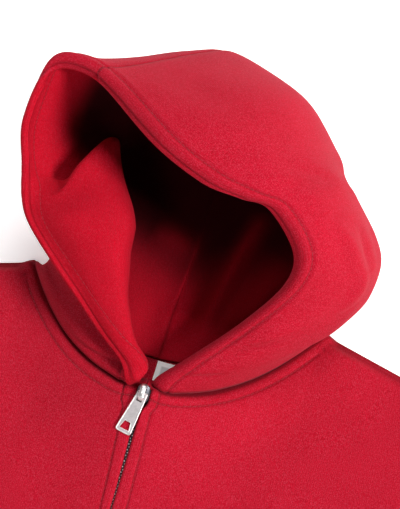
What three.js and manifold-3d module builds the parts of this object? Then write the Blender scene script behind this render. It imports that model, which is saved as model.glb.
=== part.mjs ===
// A child's zip-through hooded sweatshirt, laid flat on its back with the hood opened out.
// Millimetres. x runs to the wearer's left, y towards the hood, z up from the surface it lies on.
// The zero lies on that surface, straight under the top of the zip.
import * as THREE from "three";
import { mergeVertices } from "three/addons/utils/BufferGeometryUtils.js";
import Module from "manifold-3d";

// Cloth
const fleece = 2.0; // thickness of the brushed fleece
const liningThick = 1.2;
const ribThick = 2.4;
const ribHeight = 0.7; // how far a rib stands over the valleys
const ribPitch = 7;
const seamGap = 0.3;
const liningGap = 0.35; // between the hood and its lining
const restHeight = fleece / 2; // middle of a layer that lies on the surface
const ribWall = ribThick - ribHeight;
const ribRest = ribWall / 2;

// Body, as it lies
const chestHalf = 218;
const hemHalf = 198; // gathered into the waistband
const hemY = -430; // seam of body and waistband
const underarmY = -150;
const shoulder = { x: 188, y: 37 };
const neckPoint = { x: 91, y: 65 }; // where shoulder seam and neck seam meet
const backNeckY = 25; // back neck seam at the centre
const layerHeight = 3.6; // middle of the front layer at the side seams
const zipHeight = 5.2; // middle of the front layer at the zip, away from the neck
const neckRise = 16.8; // how much further the hood lifts the front at the top of the zip
const riseLength = 45;
const edgeTuck = 3.2; // the front's edge rolls over the back's by this much
const edgeDrop = 1.2; // and turns down by this much
const edgeStart = 0.985; // share across the front at which its edge starts to turn down
const zipReach = 30; // how far from the zip the front stays raised
const neckEndRise = 3.4; // how much the hood lifts the front at the neck point
const shoulderReach = 60; // how far outside the neck point that lift fades away

// Sleeves and ribs
const sleeveLength = 430;
const sleeveAngle = THREE.MathUtils.degToRad(55); // below the horizontal
const wristWidth = 78; // gathered into the cuff
const sleeveFullness = 22;
const armholeGap = 0.8;
const underarmGap = 3; // added at the underarm, where the sleeve's edge turns round
const sleeveTop = 4.4; // middle of the sleeve's upper layer
const underarmEase = 260; // bends the sleeve's rows round the corner of the body
const cuff = { width: 74, length: 55, gap: 0.7, bow: 2 };
const waistband = { half: 194, height: 55, gap: 0.5, spread: 4 };

// Zip
const neckSeat = 1.7; // from the neck seam's middle to the front's edge
const zipSlit = 1.2; // half the opening between the front edges
const chain = { half: 2.6, thick: 1.4 };
const tape = { inner: 2.9, outer: 13, thick: 0.7 };
const zipClearance = 0.3;
const sliderSpread = { aside: 3, fade: 14, share: 0.2 }; // how the front edges stand aside for the slider
const slider = { width: 7.4, length: 10.5, thick: 3.1, corner: 1.4, drop: 1.4, lift: 0.4 };
const bridge = { width: 2.2, length: 8, height: 4.1, wall: 1.1, leg: 1.2 };
const tab = { length: 26, top: 6.2, end: 10, thick: 1.3, skew: 14, corner: 1.6 };
const tabHang = { x: 0.4, y: -0.8, z: 1.9 }; // the tab's bar from the middle of the slider's top
const tabSlot = { width: 3.8, length: 4.6, bar: 1.5 };
const tabWindow = { top: 3.8, end: 6, length: 4.8, edge: 2.4 };

const label = { x: 14, width: 28, length: 34, thick: 0.5, drop: 1 };

// Grids: rows and columns of each piece
const bodyGrid = { below: 8, columns: 13 };
const backGrid = { below: 3 };
const hoodGrid = { rows: 21, columns: 15 };

const vec = (x, y, z) => new THREE.Vector3(x, y, z);
const mix = THREE.MathUtils.lerp;
const smooth = THREE.MathUtils.smoothstep;
const range = (count) => Array.from({ length: count }, (unused, i) => i);
const steps = (count) => range(count).map((i) => i / (count - 1));

// A smooth curve through points; at() takes 0 to 1 in equal shares of the points.
function through(points) {
  const curve = new THREE.CatmullRomCurve3(points, false, "catmullrom", 0.5);
  return (t) => curve.getPoint(t);
}

// Unit normals of a grid of points, on the side that columns x rows points to.
function normalsOf(grid, ring = false) {
  return grid.map((row, r) =>
    row.map((point, c) => {
      const last = row.length - 1;
      const before = ring ? row[(c + last) % row.length] : row[Math.max(c - 1, 0)];
      const after = ring ? row[(c + 1) % row.length] : row[Math.min(c + 1, last)];
      const below = grid[Math.max(r - 1, 0)][c];
      const above = grid[Math.min(r + 1, grid.length - 1)][c];
      const across = after.clone().sub(before);
      return across.cross(above.clone().sub(below)).normalize();
    }),
  );
}

// Normals averaged with their neighbours', so that walls offset by them don't cross at tight turns.
function softened(normals) {
  return normals.map((row, r) =>
    row.map((normal, c) => {
      const sum = normal.clone().multiplyScalar(2);
      [[r - 1, c], [r + 1, c], [r, c - 1], [r, c + 1]].forEach(([i, j]) => {
        if (normals[i]?.[j]) sum.add(normals[i][j]);
      });
      return sum.normalize();
    }),
  );
}

// Points moved along their normals, and never below the surface that the garment lies on.
function moved(grid, normals, distance) {
  return grid.map((row, r) =>
    row.map((point, c) => {
      const by = typeof distance === "function" ? distance(r, c) : distance;
      const out = point.clone().addScaledVector(normals[r][c], by);
      return out.setZ(Math.max(out.z, 0));
    }),
  );
}

// A closed cloth wall between an outer and an inner grid; ring joins the last column to the first.
function wall(outer, inner, ring = false) {
  const rows = outer.length;
  const columns = outer[0].length;
  const positions = [outer, inner].flat(2).flatMap((p) => [p.x, p.y, p.z]);
  const at = (layer, r, c) => (layer * rows + r) * columns + (c % columns);
  const faces = [];
  const spans = ring ? columns : columns - 1;
  for (let r = 0; r < rows - 1; r += 1) {
    for (let c = 0; c < spans; c += 1) {
      const corners = [[r, c], [r, c + 1], [r + 1, c + 1], [r + 1, c]];
      const [a, b, d, e] = corners.map(([i, j]) => at(0, i, j));
      const [f, g, h, k] = corners.map(([i, j]) => at(1, i, j));
      faces.push(a, b, d, a, d, e, f, h, g, f, k, h);
    }
  }
  const side = (r0, c0, r1, c1) => {
    const [a, b] = [at(0, r0, c0), at(0, r1, c1)];
    const [c, d] = [at(1, r0, c0), at(1, r1, c1)];
    faces.push(b, a, c, b, c, d);
  };
  for (let c = 0; c < spans; c += 1) {
    side(0, c, 0, c + 1);
    side(rows - 1, c + 1, rows - 1, c);
  }
  if (!ring) {
    for (let r = 0; r < rows - 1; r += 1) {
      side(r + 1, 0, r, 0);
      side(r, columns - 1, r + 1, columns - 1);
    }
  }
  const geometry = new THREE.BufferGeometry();
  geometry.setAttribute("position", new THREE.Float32BufferAttribute(positions, 3));
  geometry.setIndex(faces);
  return geometry;
}

// The front neck seam from the zip to the neck point, and how high the hood lifts it.
const neckline = [
  { x: 0, y: 0, z: 22 },
  { x: 13, y: -1, z: 21.5 },
  { x: 26, y: 3, z: 20 },
  { x: 40, y: 10, z: 17.5 },
  { x: 55, y: 21, z: 14.5 },
  { x: 68, y: 34, z: 11.5 },
  { x: 80, y: 49, z: 9 },
  { x: neckPoint.x, y: neckPoint.y, z: 7 },
].map((row) => vec(row.x, row.y, row.z));
const frontNeck = through(neckline);

// The back neck seam from the centre to the neck point.
const backNeck = through(
  [
    { x: 0, y: backNeckY },
    { x: 24, y: 27 },
    { x: 48, y: 34 },
    { x: 72, y: 47 },
    { x: neckPoint.x, y: neckPoint.y },
  ].map((row) => vec(row.x, row.y, restHeight)),
);

// A place beside the front neck seam, on the body's side of it.
function besideNeck(share, distance) {
  const along = frontNeck(Math.min(share + 0.01, 1)).sub(frontNeck(Math.max(share - 0.01, 0)));
  const point = frontNeck(share);
  return point.add(vec(along.y, -along.x, 0).normalize().multiplyScalar(distance));
}

// The armhole from underarm to shoulder.
const armhole = through(
  [
    { x: chestHalf, y: underarmY },
    { x: 199, y: -132 },
    { x: 184, y: -95 },
    { x: 177, y: -45 },
    { x: 181, y: 0 },
    { x: shoulder.x, y: shoulder.y },
  ].map((row) => vec(row.x, row.y, 0)),
);

// Shares of the armhole at which body and sleeve both have a point, from underarm to shoulder.
const armholeShares = [...steps(9).slice(0, 8), 0.966, 1];
const sideShare = 0.56; // share of the body's side edge that is side seam, below the armhole

// Shares up the body: some below the armhole, then those of the armhole.
function upShares(below) {
  const lower = steps(below + 1).map((share) => share * sideShare);
  return [...lower, ...armholeShares.slice(1).map((share) => mix(sideShare, 1, share))];
}

// Half the body's outline as a patch: across from the zip to the side, up from the hem to the shoulder.
function bodyPatch(neck, inner) {
  const hem = (s) => vec(mix(inner, hemHalf, s), hemY, 0);
  const top = (s) => {
    if (s <= 0.5) return neck(s * 2);
    return vec(mix(neckPoint.x, shoulder.x, s * 2 - 1), mix(neckPoint.y, shoulder.y, s * 2 - 1), 0);
  };
  const side = (t) => {
    if (t > sideShare) return armhole((t - sideShare) / (1 - sideShare));
    const up = t / sideShare;
    return vec(mix(hemHalf, chestHalf, up ** 0.4), mix(hemY, underarmY, up), 0);
  };
  const middle = (t) => vec(inner, mix(hemY, top(0).y, t), 0);
  return (s, t) => {
    const point = hem(s).multiplyScalar(1 - t).addScaledVector(top(s), t);
    point.addScaledVector(middle(t), 1 - s).addScaledVector(side(t), s);
    point.addScaledVector(hem(0), -(1 - s) * (1 - t)).addScaledVector(hem(1), -s * (1 - t));
    return point.addScaledVector(top(0), -(1 - s) * t).addScaledVector(top(1), -s * t);
  };
}

// Height of the front layer's middle: near the zip and the neck it rises, and at the edges it tucks down.
function frontHeight(x, y) {
  const away = Math.abs(x);
  const zip = (zipHeight - layerHeight) * Math.exp(-((away / zipReach) ** 2));
  const share = Math.min(away / neckPoint.x, 1);
  const seamY = frontNeck(share).y;
  const below = Math.max(seamY - y, 0);
  const high = mix(neckRise, neckEndRise, share);
  const outside = 1 - smooth(away, neckPoint.x, neckPoint.x + shoulderReach);
  return layerHeight + zip + high * outside * Math.exp(-((below / riseLength) ** 2));
}

// Soft folds of the front, each a ridge between two places, in mm.
const frontFolds = [
  { x0: 186, y0: -118, x1: 96, y1: -182, width: 16, height: 3.2 },
  { x0: 178, y0: -78, x1: 112, y1: -96, width: 12, height: 2.0 },
  { x0: 150, y0: -414, x1: 128, y1: -330, width: 14, height: 2.6 },
  { x0: 76, y0: -416, x1: 66, y1: -342, width: 12, height: 2.2 },
  { x0: 30, y0: -412, x1: 40, y1: -300, width: 13, height: 1.6 },
];

// Height that a fold adds at a place: full along its line, nothing past its ends.
function foldHeight(folds, x, y) {
  return folds.reduce((sum, fold) => {
    const along = vec(fold.x1 - fold.x0, fold.y1 - fold.y0, 0);
    const from = vec(x - fold.x0, y - fold.y0, 0);
    const share = THREE.MathUtils.clamp(from.dot(along) / along.lengthSq(), 0, 1);
    const off = from.addScaledVector(along, -share).length();
    return sum + fold.height * (1 - share * share) * Math.exp(-((off / fold.width) ** 2));
  }, 0);
}

// One front, as the wearer's left; side is 1 for left and -1 for right.
function frontGrid(side) {
  const patch = bodyPatch((share) => besideNeck(share, neckSeat), zipSlit);
  const columns = [...steps(bodyGrid.columns).map((s) => s * edgeStart), 1];
  const { aside, fade, share } = sliderSpread;
  return upShares(bodyGrid.below).map((t) =>
    columns.map((s) => {
      const point = patch(s, t);
      const spread = aside * (1 - smooth(-point.y, slider.length, slider.length + fade));
      point.x += spread * Math.max(1 - s / share, 0);
      const rolled = (t === 1 && s > 0.55) || (s === 1 && point.y < underarmY - 1);
      const height = frontHeight(point.x, point.y) + foldHeight(frontFolds, point.x, point.y);
      return vec(side * point.x, point.y, rolled ? layerHeight - edgeDrop : height);
    }),
  );
}

// The back, flat on the surface, a little inside the front's rolled edge.
function backGridPoints() {
  const patch = bodyPatch(backNeck, 0);
  const half = [0, 0.125, 0.25, 0.375, 0.5, 0.62, 0.75, 0.88, 1];
  const columns = [...half.slice(1).reverse().map((s) => [-1, s]), ...half.map((s) => [1, s])];
  return upShares(backGrid.below).map((t) =>
    columns.map(([side, s]) => {
      const point = patch(s, t);
      if (t === 1) point.y -= s <= 0.5 ? seamGap : edgeTuck + 1;
      const seam = s === 1 && point.y < underarmY + 5;
      const inset = seam ? edgeTuck : seamGap * Math.floor(s);
      return vec(side * (point.x - inset), point.y, restHeight);
    }),
  );
}

// One flat tube: plan(t) is the middle line across a row, top the height of its upper layer.
function flatRing(plan, shares, { top, rest = restHeight, relief = () => 0 }) {
  const start = plan(0);
  const end = plan(1);
  const dir = end.clone().sub(start).setZ(0).normalize();
  const radius = (top - rest) / 2;
  const turn = (point, sign) =>
    [45, 0, -45].map((degrees) => {
      const angle = THREE.MathUtils.degToRad(degrees);
      const out = point.clone().addScaledVector(dir, sign * radius * Math.cos(angle));
      return out.setZ(rest + radius + radius * Math.sin(angle));
    });
  const upper = shares.map((t) => plan(t)).map((p) => p.setZ(top + relief(p.x, p.y)));
  const lower = [...shares].reverse().map((t) => plan(t).setZ(rest));
  return [...upper, ...turn(end, 1), ...lower, ...turn(start, -1).reverse()];
}

const sleeveFolds = [
  { x0: 226, y0: -128, x1: 262, y1: -92, width: 14, height: 3.4 },
  { x0: 252, y0: -164, x1: 318, y1: -118, width: 13, height: 3.0 },
  { x0: 352, y0: -318, x1: 372, y1: -250, width: 12, height: 3.2 },
  { x0: 384, y0: -388, x1: 398, y1: -330, width: 11, height: 2.6 },
  { x0: 424, y0: -366, x1: 404, y1: -300, width: 11, height: 2.8 },
];

const sleeveAxis = vec(Math.cos(sleeveAngle), -Math.sin(sleeveAngle), 0);
const sleeveAcross = vec(-Math.sin(sleeveAngle), -Math.cos(sleeveAngle), 0);
const wristTop = vec(shoulder.x, shoulder.y, 0).addScaledVector(sleeveAxis, sleeveLength);

// Middle line across the sleeve, from its shoulder side to its underarm side, at a share of its length.
function sleevePlan(share) {
  const wrist = (t) => wristTop.clone().addScaledVector(sleeveAcross, wristWidth * t);
  const clear = (t) => armholeGap + underarmGap * smooth(t, 0.88, 1);
  const cap = (t) => armhole(1 - t).add(vec(clear(t), 0, 0));
  const fullness = sleeveFullness * Math.sin(Math.PI * share ** 3);
  const underarm = underarmEase * share * (1 - share) ** 3;
  return (t) => {
    const point = cap(t).lerp(wrist(t), share);
    point.addScaledVector(sleeveAcross, fullness * (t - 0.5));
    return point.addScaledVector(sleeveAcross, -underarm * Math.sin(Math.PI * t * t));
  };
}

const sleeveShares = armholeShares.map((share) => 1 - share).reverse();

function sleeveRings(side) {
  return [0, 0.05, 0.14, ...steps(7).map((share) => mix(0.26, 1, share))].map((share) => {
    const relief = (x, y) => foldHeight(sleeveFolds, x, y);
    const ring = flatRing(sleevePlan(share), sleeveShares, { top: sleeveTop, relief });
    return ring.map((p) => vec(side * p.x, p.y, p.z));
  });
}

// A cuff in line with the sleeve, narrower than its end, with room for two points on each rib.
function cuffRings(side) {
  const start = wristTop.clone().addScaledVector(sleeveAcross, (wristWidth - cuff.width) / 2);
  const across = 2 * Math.round(cuff.width / ribPitch) + 1;
  return steps(3).map((share) => {
    const along = cuff.gap + cuff.length * share;
    const bow = cuff.bow * Math.sin(Math.PI * share);
    const edge = start.clone().addScaledVector(sleeveAxis, along).addScaledVector(sleeveAcross, -bow);
    const plan = (t) => edge.clone().addScaledVector(sleeveAcross, (cuff.width + 2 * bow) * t);
    const ring = flatRing(plan, steps(across), { top: sleeveTop, rest: ribRest });
    return ring.map((p) => vec(side * p.x, p.y, p.z));
  });
}

// The waistband runs from the zip round the wearer's left, behind, and back to the zip.
function waistbandRows() {
  const count = 2 * Math.round(waistband.half / ribPitch) + 1;
  const top = layerHeight;
  const radius = (top - ribRest) / 2;
  return steps(3).map((share) => {
    const y = hemY - waistband.gap - waistband.height * share;
    const half = waistband.half + waistband.spread * share;
    const height = (x) => frontHeight(x, y);
    const front = steps(count).map((t) => mix(zipSlit, half, t));
    const turn = [45, 0, -45].map((degrees) => {
      const angle = THREE.MathUtils.degToRad(degrees);
      return vec(half + radius * Math.cos(angle), y, ribRest + radius * (1 + Math.sin(angle)));
    });
    const leftFront = front.map((x) => vec(x, y, height(x)));
    const back = steps(9).map((t) => vec(mix(half, -half, t), y, ribRest));
    const mirrored = (points) => points.map((p) => vec(-p.x, p.y, p.z)).reverse();
    return [...leftFront, ...turn, ...back, ...mirrored(turn), ...mirrored(leftFront)];
  });
}

// The hood's wearer's-left half, filled out to a round side: a row for each section from the neck seam to
// the top seam, each from the front edge over the side and along the surface to the centre back seam.
const leftHood = [
  { edge: [8, 6, 28], lip: [20, 5, 29], brow: [37, 10, 28], crest: [60, 25, 24], side: [90, 57, 19],
    turn: [97, 76, 14], floor: [48, 50, 1], seam: [0, 37, 1] },
  { edge: [20, 18, 35], lip: [30, 14, 38], brow: [49, 19, 38], crest: [71, 34, 34], side: [97, 60, 27],
    turn: [102, 85, 14], floor: [52, 70, 1], seam: [0, 52, 1] },
  { edge: [45, 42, 48], lip: [55, 38, 52], brow: [69, 41, 51], crest: [86, 52, 44], side: [106, 75, 32],
    turn: [108, 99, 11], floor: [56, 95, 1], seam: [1, 77, 1] },
  { edge: [64, 62, 66], lip: [73, 61, 69], brow: [85, 67, 65], crest: [101, 79, 54], side: [112, 97, 36],
    turn: [109, 123, 11], floor: [60, 122, 1], seam: [2, 104, 1] },
  { edge: [66, 74, 82], lip: [76, 78, 85], brow: [89, 87, 78], crest: [102, 99, 62],
    side: [108, 114, 38], turn: [101, 142, 10], floor: [54, 147, 1], seam: [2, 131, 1] },
  { edge: [48, 88, 98], lip: [58, 93, 101], brow: [74, 103, 95], crest: [89, 117, 74],
    side: [94, 134, 46], turn: [86, 160, 12], floor: [46, 168, 1], seam: [3, 156, 1] },
  { edge: [31, 87, 105], lip: [42, 94, 109], brow: [60, 108, 103], crest: [78, 126, 84],
    side: [81, 145, 54], turn: [76, 170, 18], floor: [41, 178, 2], seam: [3, 168, 1] },
  { edge: [8, 88, 112], lip: [18, 97, 117], brow: [40, 114, 113], crest: [62, 135, 91],
    side: [72, 156, 60], turn: [68, 182, 26], floor: [35, 190, 5], seam: [3, 181, 2] },
  { edge: [-26, 102, 121], lip: [-16, 112, 126], brow: [3, 131, 122], crest: [26, 158, 106],
    side: [40, 181, 82], turn: [37, 200, 52], floor: [20, 205, 25], seam: [3, 203, 13] },
  { edge: [-68, 138, 117], lip: [-68, 144, 118], brow: [-57, 154, 110], crest: [-39, 172, 100],
    side: [-22, 191, 89], turn: [-10, 208, 75], floor: [-3, 213, 51], seam: [1, 213, 31] },
];

// The wearer's-right half, whose front rolls outwards over the neck seam and shows its lining.
const rightHood = [
  { edge: [-13, 3, 26], lip: [-10, 2, 29], brow: [-7, 4, 29], crest: [-13, 9, 25], side: [-46, 19, 22],
    turn: [-84, 62, 12], floor: [-48, 50, 1], seam: [0, 37, 1] },
  { edge: [-24, 16, 33], lip: [-20, 14, 37], brow: [-14, 15, 36], crest: [-21, 22, 30],
    side: [-52, 34, 25], turn: [-81, 68, 12], floor: [-50, 68, 1], seam: [0, 52, 1] },
  { edge: [-44, 32, 41], lip: [-35, 31, 48], brow: [-23, 34, 48], crest: [-28, 44, 36],
    side: [-58, 54, 27], turn: [-80, 82, 13], floor: [-54, 94, 1], seam: [1, 77, 1] },
  { edge: [-66, 48, 50], lip: [-48, 49, 61], brow: [-31, 54, 62], crest: [-33, 68, 45],
    side: [-61, 80, 27], turn: [-80, 104, 13], floor: [-54, 117, 1], seam: [2, 104, 1] },
  { edge: [-87, 66, 59], lip: [-62, 66, 72], brow: [-37, 79, 71], crest: [-38, 96, 48],
    side: [-62, 108, 27], turn: [-82, 124, 12], floor: [-50, 141, 1], seam: [2, 131, 1] },
  { edge: [-96, 78, 65], lip: [-75, 81, 68], brow: [-66, 103, 70], crest: [-58, 128, 62],
    side: [-62, 136, 30], turn: [-80, 140, 11], floor: [-44, 160, 1], seam: [3, 156, 1] },
  { edge: [-103, 93, 76], lip: [-90, 97, 62], brow: [-72, 113, 47], crest: [-62, 138, 37],
    side: [-64, 148, 22], turn: [-66, 157, 10], floor: [-36, 172, 2], seam: [3, 168, 1] },
  { edge: [-108, 115, 91], lip: [-98, 124, 78], brow: [-84, 138, 58], crest: [-73, 152, 42],
    side: [-62, 164, 28], turn: [-50, 174, 16], floor: [-27, 185, 6], seam: [3, 181, 2] },
  { edge: [-98, 141, 110], lip: [-94, 148, 113], brow: [-82, 156, 99], crest: [-68, 171, 81],
    side: [-54, 189, 62], turn: [-37, 198, 42], floor: [-18, 204, 24], seam: [3, 203, 13] },
  { edge: [-68, 138, 117], lip: [-68, 144, 118], brow: [-57, 154, 110], crest: [-39, 172, 100],
    side: [-22, 191, 89], turn: [-10, 208, 75], floor: [-3, 213, 51], seam: [1, 213, 31] },
];

const stations = ["edge", "lip", "brow", "crest", "side", "turn", "floor", "seam"];
// Shares of the front neck seam under the first six stations.
const neckStations = { left: [0.03, 0.2, 0.36, 0.62, 0.85, 1], right: [0.04, 0.12, 0.22, 0.38, 0.7, 1] };

// Where the hood leaves the neck seam: round the front neck, then round the back neck to the centre.
function hoodFoot(name) {
  const side = name === "left" ? 1 : -1;
  const shares = neckStations[name];
  const last = shares.length - 1;
  return (u) => {
    const station = u * (stations.length - 1);
    if (station <= last) {
      const k = Math.min(Math.floor(station), last - 1);
      const point = frontNeck(mix(shares[k], shares[k + 1], station - k));
      return vec(side * point.x, point.y, point.z + 0.6);
    }
    const round = (station - last) / (stations.length - 1 - last);
    const point = backNeck(1 - round);
    const lift = mix(neckline.at(-1).z - restHeight, 0, Math.min(round * 2, 1));
    return vec(side * point.x, point.y + mix(1.6, seamGap, round), restHeight + lift);
  };
}

// Points of one half of the hood, rows up from the neck and columns from the front edge to the back seam.
function hoodPoints(name) {
  const table = name === "left" ? leftHood : rightHood;
  const sections = table.map((row) => stations.map((key) => vec(...row[key])));
  const rows = [hoodFoot(name), ...sections.map(through)];
  return steps(hoodGrid.columns).map((u) => {
    const column = through(rows.map((row) => row(u)));
    return steps(hoodGrid.rows).map((v) => column(v));
  });
}

const transposed = (grid) => grid[0].map((unused, i) => grid.map((row) => row[i]));

// Both halves with normals that agree along the seam they share, pulled back from it by half a gap.
function hoodHalves() {
  const left = transposed(hoodPoints("left"));
  const right = transposed(hoodPoints("right")).map((row) => row.reverse());
  [left, right].forEach((grid) =>
    grid.flat().forEach((p) => p.setZ(Math.max(p.z, restHeight))),
  );
  const normals = { left: softened(softened(normalsOf(left))), right: softened(normalsOf(right)) };
  const last = hoodGrid.columns - 1;
  const top = hoodGrid.rows - 1;
  const share = (r, c) => {
    const sum = normals.left[r][c].clone().add(normals.right[r][last - c]).normalize();
    normals.left[r][c] = sum;
    normals.right[r][last - c] = sum.clone();
  };
  range(top).forEach((r) => share(r, last));
  range(hoodGrid.columns).forEach((c) => share(top, c));
  const pull = (grid, r, c, toR, toC) => {
    const away = grid[toR][toC].clone().sub(grid[r][c]).normalize();
    grid[r][c].addScaledVector(away, seamGap * 0.7);
  };
  range(hoodGrid.rows).forEach((r) => {
    pull(left, r, last, r, last - 1);
    pull(right, r, 0, r, 1);
  });
  range(hoodGrid.columns).forEach((c) => {
    pull(left, top, c, top - 1, c);
    pull(right, top, c, top - 1, c);
  });
  return { left: { grid: left, normals: normals.left }, right: { grid: right, normals: normals.right } };
}

// The front's edge at the zip and its next points, from the waistband's end up to the neck.
function zipEdge() {
  const band = waistbandRows().reverse().map(([edge]) => [edge, edge.clone().add(vec(12, 0, 0))]);
  band.flat().forEach((p) => p.setZ(frontHeight(p.x, p.y)));
  return [...band, ...frontGrid(1).map(([edge, next]) => [edge, next])];
}

// A strip along the zip under the front's edge, made from the front's own points moved down.
function zipStrip(from, to, thick, rowsAtTop) {
  const edge = zipEdge();
  const upper = edge.slice(0, edge.length - rowsAtTop).map(([inner, outer]) =>
    [from, to].map((x) => {
      const share = (Math.abs(x) - inner.x) / (outer.x - inner.x);
      const point = inner.clone().lerp(outer, share);
      return vec(x, point.y, point.z - fleece / 2 - zipClearance);
    }),
  );
  return wall(upper, upper.map((row) => row.map((p) => vec(p.x, p.y, p.z - thick))));
}

// Joins closed three.js geometries into one solid.
const wasm = await Module();
wasm.setup();

function solidOf(geometry) {
  const bare = geometry.clone();
  bare.deleteAttribute("normal");
  bare.deleteAttribute("uv");
  const merged = mergeVertices(bare, 1e-4);
  return new wasm.Manifold(
    new wasm.Mesh({
      numProp: 3,
      vertProperties: new Float32Array(merged.attributes.position.array),
      triVerts: new Uint32Array(merged.index.array),
    }),
  );
}

function geometryOf(solid) {
  const mesh = solid.getMesh();
  const geometry = new THREE.BufferGeometry();
  geometry.setAttribute("position", new THREE.BufferAttribute(mesh.vertProperties, 3));
  geometry.setIndex(new THREE.BufferAttribute(mesh.triVerts, 1));
  return geometry;
}

function roundedPlate(width, length, corner) {
  const shape = new THREE.Shape();
  const [w, l, c] = [width / 2, length / 2, corner];
  shape.moveTo(-w + c, -l).lineTo(w - c, -l).absarc(w - c, -l + c, c, -Math.PI / 2, 0);
  shape.lineTo(w, l - c).absarc(w - c, l - c, c, 0, Math.PI / 2);
  shape.lineTo(-w + c, l).absarc(-w + c, l - c, c, Math.PI / 2, Math.PI);
  shape.lineTo(-w, -l + c).absarc(-w + c, -l + c, c, Math.PI, 1.5 * Math.PI);
  return shape;
}

// The slider's body with its bridge, lying on the chain; its own zero is the top of the body.
function sliderGeometry() {
  const plan = roundedPlate(slider.width - 1, slider.length - 1, slider.corner);
  const body = new THREE.ExtrudeGeometry(plan, {
    depth: slider.thick - 1,
    bevelThickness: 0.5,
    bevelSize: 0.5,
    bevelSegments: 2,
    curveSegments: 4,
  }).translate(0, 0, -slider.thick + 0.5);
  const side = new THREE.Shape();
  const [half, high] = [bridge.length / 2, bridge.height];
  side.moveTo(-half, -0.5).lineTo(half, -0.5).lineTo(half, high - 1.4);
  side.quadraticCurveTo(half, high, half - 1.6, high).lineTo(-half + 1.6, high);
  side.quadraticCurveTo(-half, high, -half, high - 1.4).lineTo(-half, -0.5);
  const [holeHalf, holeHigh] = [half - bridge.leg, high - bridge.wall];
  const hole = new THREE.Path();
  hole.moveTo(-holeHalf, 0).lineTo(-holeHalf, holeHigh - 0.6).lineTo(-holeHalf + 0.6, holeHigh);
  hole.lineTo(holeHalf - 0.6, holeHigh).lineTo(holeHalf, holeHigh - 0.6).lineTo(holeHalf, 0);
  side.holes.push(hole);
  const arch = new THREE.ExtrudeGeometry(side, {
    depth: bridge.width,
    bevelEnabled: false,
    curveSegments: 4,
  });
  arch.translate(0, 0, -bridge.width / 2).rotateY(Math.PI / 2).rotateX(Math.PI / 2);
  return geometryOf(solidOf(body).add(solidOf(arch)));
}

// The pull tab flat in its own frame, its zero at the bar that runs under the bridge, lying towards -y.
function tabGeometry() {
  const shape = new THREE.Shape();
  const top = tabSlot.bar / 2;
  const end = top - tab.length;
  const [narrow, wide, corner] = [tab.top / 2, tab.end / 2, tab.corner];
  shape.moveTo(-narrow + 1, top).lineTo(narrow - 1, top).quadraticCurveTo(narrow, top, narrow, top - 1);
  shape.lineTo(wide, end + corner).quadraticCurveTo(wide, end, wide - corner, end);
  shape.lineTo(-wide + corner, end).quadraticCurveTo(-wide, end, -wide, end + corner);
  shape.lineTo(-narrow, top - 1).quadraticCurveTo(-narrow, top, -narrow + 1, top);
  const opening = (upper, lower, from, to) => {
    const path = new THREE.Path();
    path.moveTo(-upper / 2, from).lineTo(-lower / 2, to).lineTo(lower / 2, to).lineTo(upper / 2, from);
    return path.lineTo(-upper / 2, from);
  };
  const slotTop = -tabSlot.bar / 2;
  shape.holes.push(opening(tabSlot.width, tabSlot.width, slotTop, slotTop - tabSlot.length));
  const windowEnd = end + tabWindow.edge;
  shape.holes.push(opening(tabWindow.top, tabWindow.end, windowEnd + tabWindow.length, windowEnd));
  const plate = new THREE.ExtrudeGeometry(shape, { depth: tab.thick, bevelEnabled: false, curveSegments: 4 });
  return plate.translate(0, 0, -tab.thick / 2);
}

// Materials
const cloth = (color) => new THREE.MeshStandardMaterial({ color, roughness: 0.95, metalness: 0 });
const redFleece = () => cloth(0xc8182c);
const redRib = () => cloth(0xb81528);
const redLining = () => cloth(0xb01024);
const zipCloth = () => cloth(0x8e1420);
const steel = () => new THREE.MeshStandardMaterial({ color: 0xb9b9bb, roughness: 0.32, metalness: 1 });
const darkSteel = () => new THREE.MeshStandardMaterial({ color: 0x4c4c50, roughness: 0.45, metalness: 0.9 });
const labelCloth = () => cloth(0xe6e4e2);

const garment = new THREE.Group();

function add(name, geometry, material, parent = garment) {
  geometry.computeVertexNormals();
  const mesh = new THREE.Mesh(geometry, material);
  mesh.name = name;
  parent.add(mesh);
  return mesh;
}

// A single wall of even thickness about its middle points.
function clothWall(grid, thick, ring = false, relief = () => 0) {
  const normals = normalsOf(grid, ring);
  const outer = moved(grid, normals, (r, c) => thick / 2 + relief(r, c));
  return wall(outer, moved(grid, normals, -thick / 2), ring);
}

// Every second column on the upper side is a rib.
const ribs = (grid) => (r, c) => (grid[r][c].z > restHeight + 1.5 && c % 2 === 1 ? ribHeight : 0);

function flipped(grid) {
  return grid.map((row) => [...row].reverse());
}

add("front_left", clothWall(frontGrid(1), fleece), redFleece());
add("front_right", clothWall(flipped(frontGrid(-1)), fleece), redFleece());
const backPoints = backGridPoints();
add("back", clothWall(flipped(backPoints), fleece), redFleece());

["left", "right"].forEach((name) => {
  const side = name === "left" ? 1 : -1;
  const facing = (rings) => (side > 0 ? flipped(rings) : rings);
  add(`sleeve_${name}`, clothWall(facing(sleeveRings(side)), fleece, true), redFleece());
  const cuffGrid = facing(cuffRings(side));
  add(`cuff_${name}`, clothWall(cuffGrid, ribWall, true, ribs(cuffGrid)), redRib());
});

const bandGrid = flipped(waistbandRows());
add("waistband", clothWall(bandGrid, ribWall, false, ribs(bandGrid)), redRib());

const halves = hoodHalves();
["left", "right"].forEach((name) => {
  const { grid, normals } = halves[name];
  const outside = moved(grid, normals, fleece / 2);
  add(`hood_${name}`, wall(outside, moved(grid, normals, -fleece / 2)), redFleece());
  const liningTop = -fleece / 2 - liningGap;
  const liningOut = moved(grid, normals, liningTop);
  add(`hood_lining_${name}`, wall(liningOut, moved(grid, normals, liningTop - liningThick)), redLining());
});

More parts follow.
